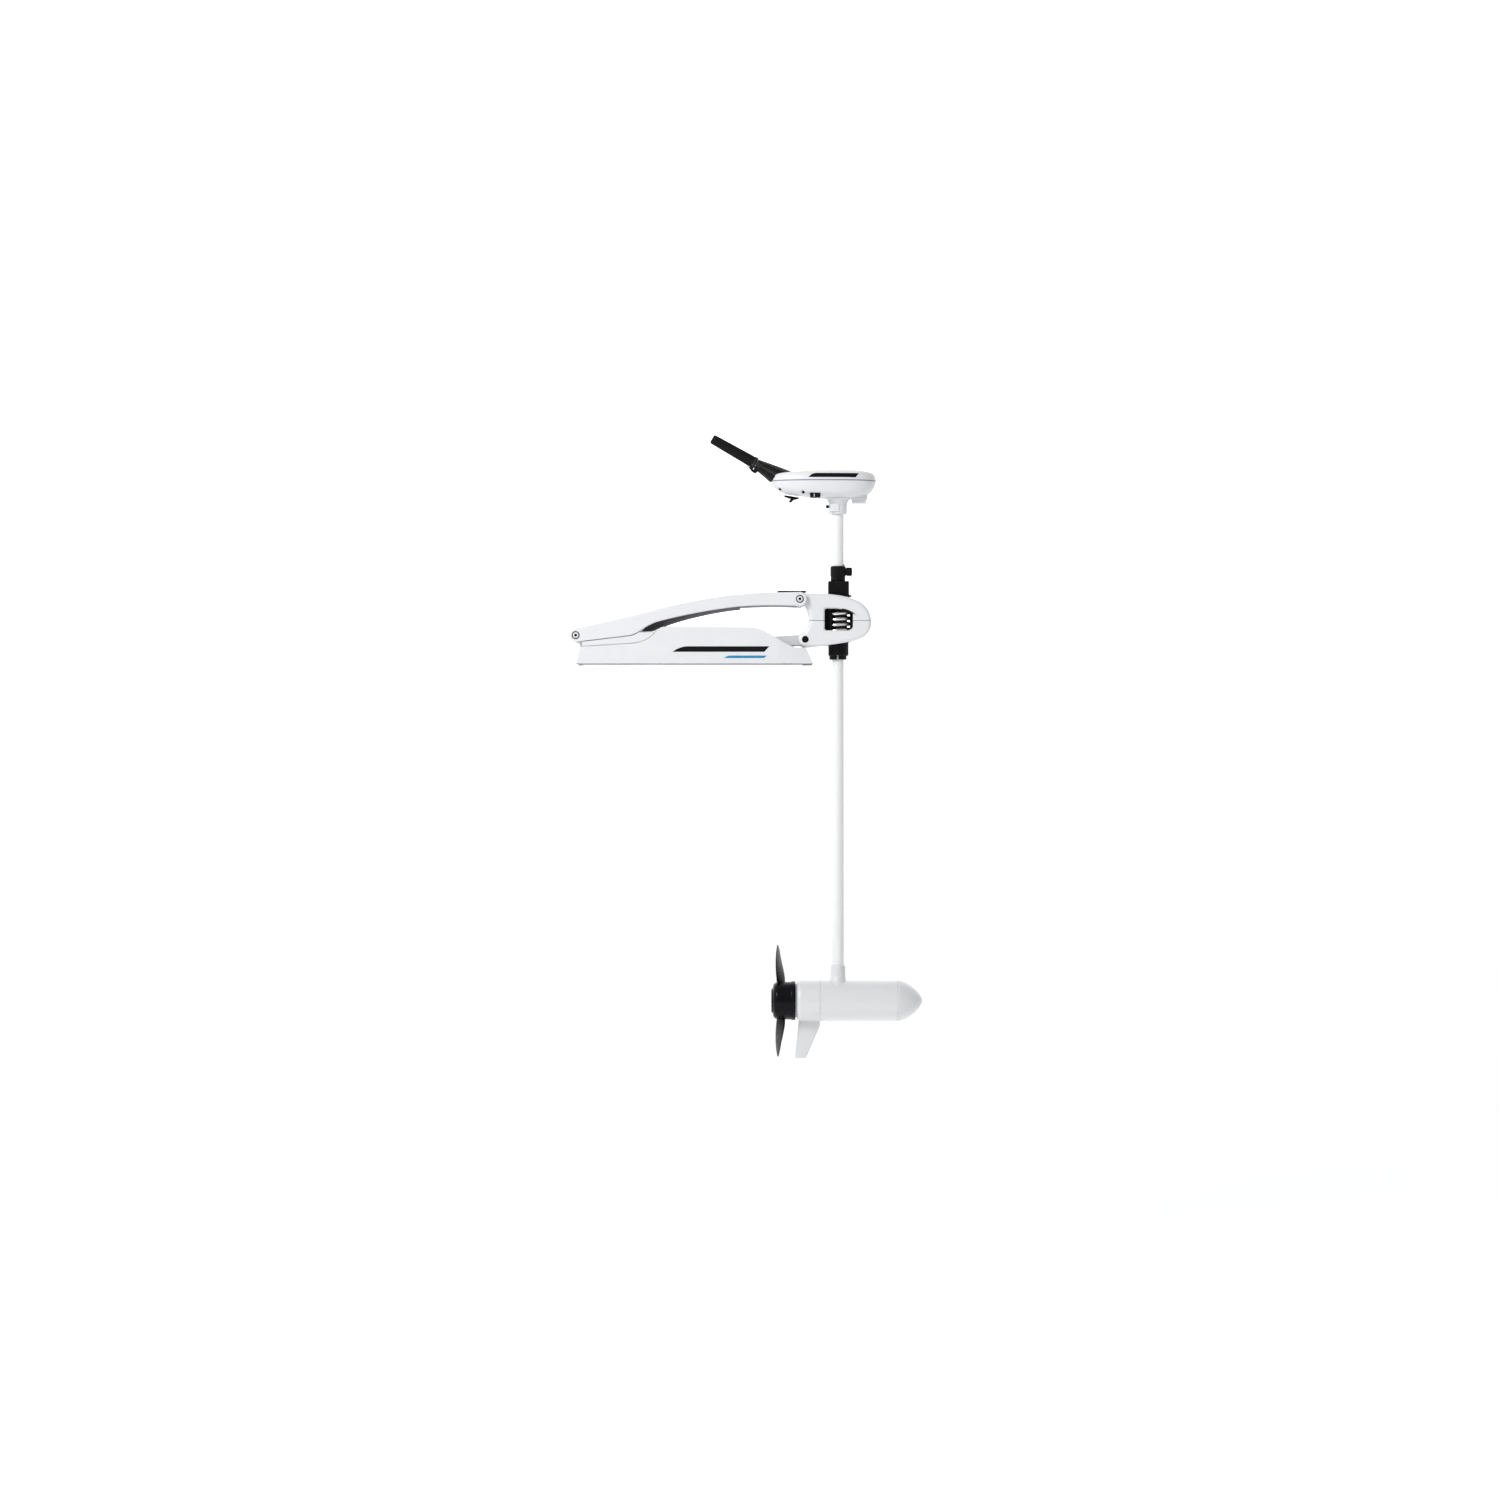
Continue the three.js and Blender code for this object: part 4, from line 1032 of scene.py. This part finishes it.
def head_screws():
    """Countersunk heads with a crossed recess, in the shell's four screw wells."""
    for row, (x, half, z) in enumerate(SCREW_PLACES, 1):
        for name, side in NEAR_AND_FAR:
            at = (COLUMN_X + x, side * half, SEAM_Z + z)
            screw = lathe(
                [(0, 0.2), (2.4, 0.2), (3.2, 1), (3.2, 2.6), (1.9, 4), (1.9, 14), (0, 14)], "Z", at, 36)
            for dx, dy in ((2, 0.4), (0.4, 2)):
                cut(screw, box(at[0] - dx, at[0] + dx, at[1] - dy, at[1] + dy, at[2] - 1, at[2] + 1.4))
            label = f"head_screw_{row}_{name}"
            finish_piece(screw, f"{label}_cross", "shaft", "black_steel", label, slot="steel")


lower_shell()
upper_cover()
seam_trim()
for near_or_far, y_sign in NEAR_AND_FAR:
    head_stripe(near_or_far, y_sign)
head_stem()
cable_gland()
accessory_port()
tilt_latch()
mode_switch()
head_screws()

# ---------------------------------------------------------------- tiller

# Sections of the fairing: [distance from the grip's inner end, bottom, top, half width].
FAIRING = [
    [1, -13, 12.5, 13], [26, -17, 17, 19], [52, -22, 21.5, 26], [72, -22, 24.5, 31], [89, -22, 27, 33]]
# How far each rib is turned up from straight sideways, in radians.
RIB_ANGLES = (-0.62, -0.22, 0.2, 0.6)


def in_tiller(obj):
    """Moves a tool or piece made along the tiller's own axes to its place."""
    obj.data.transform(TILLER_FRAME)
    return obj


def tiller_arm():
    """A fairing that widens towards the head, with ribs fanning out along both sides."""
    rings = []
    for x, low, high, half in smooth_rows(FAIRING, 8):
        ring = []
        for angle in around(144):
            across, up = signed_power(math.cos(angle), 0.7), signed_power(math.sin(angle), 0.7)
            rise = math.atan2(math.sin(angle), abs(math.cos(angle)))
            closeness = max(math.exp(-((rise - rib) / 0.075) ** 2) for rib in RIB_ANGLES)
            swell = 1.9 * closeness * min(1, max(0, (x - 4) / 14)) - 0.9
            grow, rib_height = 1 + swell / half, 1 + 0.3 * swell / half
            ring.append((x, across * half * grow, (low + high) / 2 + up * (high - low) / 2 * rib_height))
        rings.append(ring)
    arm = in_tiller(loft(rings))
    tongue = prism(outline("M -19 -14.95 Q -8 -16.4 0 -21.5 L 10 -21.5 L 14 -10 L 4 -10 L 2 -14.95"), -7, 7)
    join(arm, round_edges(in_tiller(tongue), 1.0, 3))
    cut(arm, head_solid(LOWER_LEVELS + UPPER_LEVELS, -0.5))
    cut(arm, head_box(-174, -120, -40, 40, -40, -1))
    cut(arm, in_tiller(rod(8.8, -5, 24, "X")))
    finish_piece(arm, "tiller_fairing", "tiller_arm", "black_plastic", "tiller_arm", crease=40)


def tiller_grip():
    """A tapered grip with long flutes, smooth rings at both ends and a rounded tip."""
    profile = [
        (-121.3, 8.8), (-120.4, 10.2), (-118.6, 11.2), (-116, 11.7), (-110, 11.8), (-70, 12.7), (-30, 13.4),
        (-18, 13.7), (-14, 13.8), (-12.6, 13.2), (-11.4, 13.2), (-10, 14.2), (-3, 14.5), (-1, 14.4),
        (0, 13.8)]
    rings = []
    for start, end in zip(profile, profile[1:] + profile[-1:]):
        steps = max(1, int((end[0] - start[0]) / 5))
        for step in range(steps):
            x, radius = (between(first, last, step / steps) for first, last in zip(start, end))
            inside = min(1, max(0, (x + 114) / 6)) * min(1, max(0, (-16 - x) / 6))
            ring = []
            for angle in around(144):
                fluted = radius - 0.9 * inside * max(0, math.cos(12 * angle)) ** 2
                ring.append((x, fluted * math.cos(angle), fluted * math.sin(angle)))
            rings.append(ring)
    grip = in_tiller(loft(rings))
    cut(grip, in_tiller(rod(8.9, -116, 3, "X")))
    finish_piece(grip, "grip", "tiller_grip", "black_rubber", "tiller_grip", crease=45)


def speed_marks():
    """Plain graduation marks round the grip's inner ring."""
    marks = []
    for i, angle in enumerate(around(24)):
        length = 4.6 if i % 4 == 0 else 3.0
        mark = box(-3.2 - length, -3.2, -0.45, 0.45, 13.4, 14.62)
        mark.data.transform(Matrix.Rotation(angle, 4, "X"))
        marks.append(in_tiller(mark))
    ring = join(*marks)
    finish_piece(ring, "grip_marks", "tiller_grip", "mark_grey", slot="black_rubber")


def tiller_tube():
    inner = in_tiller(round_edges(tube(6, 8.5, -112, 23, "X"), 0.5, 2))
    finish_piece(inner, "grip_tube", "tiller_tube", "steel", "tiller_tube")


tiller_arm()
tiller_grip()
speed_marks()
tiller_tube()

# ---------------------------------------------------------------- lower unit


def axis_rod(radius, start, end, sides=64):
    return rod(radius, start, end, "X", AXIS, sides)


def motor_body():
    """The motor's tube, with a boss for the shaft flowing into it through a saddle."""
    body = tube(45, MOTOR_RADIUS, -43, 142, "X", AXIS, 128)
    round_edges(body, 0.3, 2, 50)
    boss = lathe(
        [(0, 44), (17.5, 44), (17.5, 79.6), (17, 80.2), (17, 81), (17.5, 81.6), (17.5, 83.8), (16.7, 85),
         (15.8, 85.4), (0, 85.4)], "Z", AXIS, 80)
    levels = (
        (34, 21.5, 33), (38, 21, 31), (42, 20.3, 28), (46, 19.4, 24), (50, 18.6, 21), (55, 18, 19),
        (60, 17.4, 17.4))
    saddle = loft([
        [(COLUMN_X + along * math.cos(angle), across * math.sin(angle), MOTOR_Z + z) for angle in around(80)]
        for z, along, across in smooth_rows(levels, 4)])
    join(boss, saddle)
    cut(boss, axis_rod(46.5, -40, 40, 128))
    join(body, boss)
    cut(body, rod(SHAFT_RADIUS + GAP, 55, 90, "Z", AXIS, 64))
    cut(body, rod(9, 30, 60, "Z", AXIS, 48))
    finish_piece(body, "motor_case", "shaft", "lower_unit_paint", "motor_body", slot="white_paint")


def skeg():
    """A tapered fin with a round leading edge, leaning back towards the propeller."""
    rings = []
    for step in range(11):
        share = step / 10
        z = between(-44, -137.6, share)
        front, back = between(-36, -77, share), between(-94, -103, share)
        thick = between(4, 2.2, share) * math.sqrt(max(0, 1 - max(0, share - 0.93) ** 2 / 0.0098))
        ring = []
        for angle in around(40):
            along = between(back, front, (1 + signed_power(math.cos(angle), 0.85)) / 2)
            ring.append((COLUMN_X + along, thick * signed_power(math.sin(angle), 0.7), MOTOR_Z + z))
        rings.append(ring)
    return loft(rings)


def end_bell():
    """A cup with a bearing seat and a spigot for the propeller, and the skeg joined to it."""
    bell = lathe([
        (8, -103), (39, -103), (40, -102.2), (40, -99), (41.4, -99), (43.6, -98.4), (45.8, -96.8),
        (47.8, -93), (MOTOR_RADIUS, -88.4), (MOTOR_RADIUS, -43.6), (48.4, -43.3), (45, -43.3), (45, -86),
        (41, -94), (18, -94), (18, -71), (14.3, -71), (14.3, -94), (8, -94)], "X", AXIS, 128)
    fin = skeg()
    cut(fin, axis_rod(46.5, -120, -20, 128))
    cut(fin, column_box(-43.3, 0, -10, 10, MOTOR_Z - 60, MOTOR_Z))
    join(bell, fin)
    finish_piece(bell, "end_bell", "shaft", "lower_unit_paint", "skeg_end_bell", slot="white_paint")


NOSE_PATH = (
    "M 142.3 47.6 L 142.6 48.4 L 143.4 48.7 L 145.6 48.7 L 146 48.1 L 146.8 48.1 L 147.2 48.6 "
    "C 158 45.5 169 40.5 178 33.5 C 189 24.5 199 14 201.6 3.5 Q 202 1.5 202 0")


def nose_cone():
    """A bullet-shaped cap with a sealing groove behind its rim, open at the back for the bearing."""
    profile = [(radius, along) for along, radius in outline(NOSE_PATH, 16)]
    dome = lathe([(0, 142.3)] + profile, "X", AXIS, 128)
    cut(dome, axis_rod(14.3, 140, 155, 48))
    cut(dome, tube(18, 42, 140, 153, "X", AXIS, 96))
    finish_piece(dome, "nose", "shaft", "lower_unit_paint", "nose_cone", slot="white_paint")


# Sections of a blade: [radius, chord, thickness, pitch in degrees, sweep, place along the axis].
BLADE = [
    [40, 31, 6, 38, 0, -136.5], [58, 41, 5.2, 30, 1, -138.5], [80, 47, 4.4, 22, 3, -142],
    [102, 44, 3.6, 17, 6, -145], [120, 33, 2.8, 14, 10, -146.5], [130, 18, 2.2, 12, 14, -147.5],
    [133, 7, 1.6, 12, 16, -148]]


def blade(turn):
    rings = []
    for radius, chord, thickness, pitch, sweep, x in smooth_rows(BLADE, 6):
        lean = math.radians(pitch)
        ring = []
        for angle in around(32):
            along = math.cos(angle) * chord / 2 + sweep
            through = signed_power(math.sin(angle), 1.1) * thickness / 2
            across = along * math.cos(lean) - through * math.sin(lean)
            axial = along * math.sin(lean) + through * math.cos(lean)
            ring.append((COLUMN_X + x + axial, across, radius))
        rings.append(ring)
    body = loft(rings)
    body.data.transform(Matrix.Rotation(turn, 4, "X"))
    body.data.transform(Matrix.Translation((0, 0, MOTOR_Z * MM)))
    return body


def propeller():
    """A hollow hub with fine grooves round its rim, and two blades joined to it."""
    hub = lathe([
        (6.4, -156), (35, -156), (38, -155.2), (41.6, -152.4), (43.6, -149), (44.5, -146), (44.9, -130),
        (45.2, -113), (45.9, -111.4), (46.6, -110.6), (46.6, -103.4), (45.8, -102.4), (42.5, -102.4),
        (41.5, -144), (38, -150), (12, -150), (12, -112), (6.4, -112)], "X", AXIS, 96)
    cut(hub, *rods_around(around(30), 45.8, 0.9, -128, -114, "X", AXIS, 12))
    blades = [cut(blade(turn), axis_rod(42.8, -170, -90, 96)) for turn in (0, math.pi)]
    join(hub, *blades)
    cut(hub, rod(2.7, -20, 20, "Z", (COLUMN_X - 132, 0, MOTOR_Z), 24))
    finish_piece(hub, "prop", "rotor", "hub_plastic", "propeller", slot="black_plastic", crease=42)


def prop_nut():
    """A round nut with six grip notches and a washer face."""
    nut = lathe([
        (0, -156.3), (30, -156.3), (30, -157.6), (28.6, -159), (25, -160.2), (9, -160.2), (7.5, -159.2),
        (0, -159.2)], "X", AXIS, 72)
    cut(nut, *rods_around(around(6), 29, 3, -158.2, -164, "X", AXIS, 24))
    finish_piece(nut, "nut", "rotor", "black_plastic", "prop_nut")


motor_body()
end_bell()
nose_cone()
propeller()
prop_nut()

# ---------------------------------------------------------------- CAD nodes that keep their shape

KEPT = {
    "base_channel": "white_paint", "motor_rest": "black_rubber", "lower_arm_axle": "steel",
    "guide_tube": "polymer", "steering_sleeve": "polymer", "control_board": "board",
    "motor_shaft": "steel", "armature": "copper", "magnet_upper": "ferrite", "magnet_lower": "ferrite",
    "brush_plate": "polymer", "brush_upper": "carbon", "brush_lower": "carbon", "rear_bearing": "steel",
    "front_bearing": "steel", "shaft_seal": "black_rubber", "drive_pin": "steel"}
ROUNDING = {"base_channel": 1.4, "motor_rest": 2.2}


def dress(node, look):
    """Rounds a CAD node's edges with modifiers and gives it its material."""
    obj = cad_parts[node]
    obj.data.materials.clear()
    obj.data.materials.append(LOOKS[look])
    weld = obj.modifiers.new("weld", "WELD")
    weld.merge_threshold = 0.01 * MM
    add_bevel(obj, ROUNDING.get(node, 0.4), 3, 35)


for kept_node, kept_look in KEPT.items():
    dress(kept_node, kept_look)

# ---------------------------------------------------------------- floor, light and camera


def studio():
    """A pale floor that curves up into a wall behind the object; the wall glows more than the floor."""
    floor_z, front_y, wall_y, bend, half_width, top = -1.5, -40.0, 14.0, 4.0, 40.0, 24.0
    profile = [(front_y, floor_z), (wall_y - bend, floor_z)]
    for step in range(1, 25):
        angle = math.pi / 2 * step / 24
        profile.append((wall_y - bend + bend * math.sin(angle), floor_z + bend - bend * math.cos(angle)))
    profile.append((wall_y, top))
    vertices = [(x / MM, y / MM, z / MM) for y, z in profile for x in (-half_width, half_width)]
    faces = [(2 * i, 2 * i + 1, 2 * i + 3, 2 * i + 2) for i in range(len(profile) - 1)]
    sweep = new_object(vertices, faces, "studio_sweep")
    sweep.data.shade_smooth()
    surface = Surface("studio_paper", (0.93, 0.932, 0.935), 0.9, specular=0.0)
    surface.mottle(surface.noise(2, 2), 0.004)
    surface.set("Emission Color", (1, 1, 1, 1))
    glow = ramp_between(surface.tree, surface.along("Z"), floor_z, 0.6, 0.18, 1.05)
    surface.set("Emission Strength", glow)
    sweep.data.materials.append(LOOKS["studio_paper"])


def world_light():
    """A white room, dimmer behind the camera, to the right, above and below, which shapes the object."""
    world = bpy.data.worlds.new("white_room")
    bpy.context.scene.world = world
    world.use_nodes = True
    tree = world.node_tree
    direction = add_node(tree, "TexCoord").outputs["Generated"]
    toward = add_node(tree, "SeparateXYZ", Vector=direction).outputs
    depth = ramp_between(tree, toward["Y"], -1.0, 0.4, 0.28, 1.05)
    width = ramp_between(tree, toward["X"], -1.0, 1.0, 1.05, 0.7)
    height = ramp_between(tree, calculate(tree, "ABSOLUTE", toward["Z"]), 0.0, 1.0, 1.16, 0.68)
    strength = calculate(tree, "MULTIPLY", calculate(tree, "MULTIPLY", depth, width), height)
    background = tree.nodes["Background"]
    feed(tree, background.inputs["Strength"], strength)
    feed(tree, background.inputs["Color"], (0.985, 0.992, 1.0, 1))


def key_light(place=(-2.2, -3.0, 2.6), aim=(0.1, 0, -0.1), size=1.6, power=156):
    """One soft round light, in front of the object, above it and to its left."""
    data = bpy.data.lights.new("key", "AREA")
    data.shape = "DISK"
    data.size = size
    data.energy = power
    lamp = bpy.data.objects.new("key", data)
    bpy.context.scene.collection.objects.link(lamp)
    lamp.location = place
    lamp.rotation_euler = (Vector(aim) - Vector(place)).to_track_quat("-Z", "Y").to_euler()


def camera(away=9.0, lens=90, right=0.009, down=0.0085):
    """Looks straight along +Y at the object's middle, moved a little to centre the view."""
    data = bpy.data.cameras.new("camera")
    data.sensor_width = 36
    data.lens = lens
    eye = bpy.data.objects.new("camera", data)
    bpy.context.scene.collection.objects.link(eye)
    centre = (cad_low + cad_high) / 2
    eye.location = (centre.x + right, centre.y - away, centre.z - down)
    eye.rotation_euler = (math.pi / 2, 0, 0)
    bpy.context.scene.camera = eye


studio()
world_light()
key_light()
camera()
bpy.context.scene.view_settings.view_transform = "Standard"
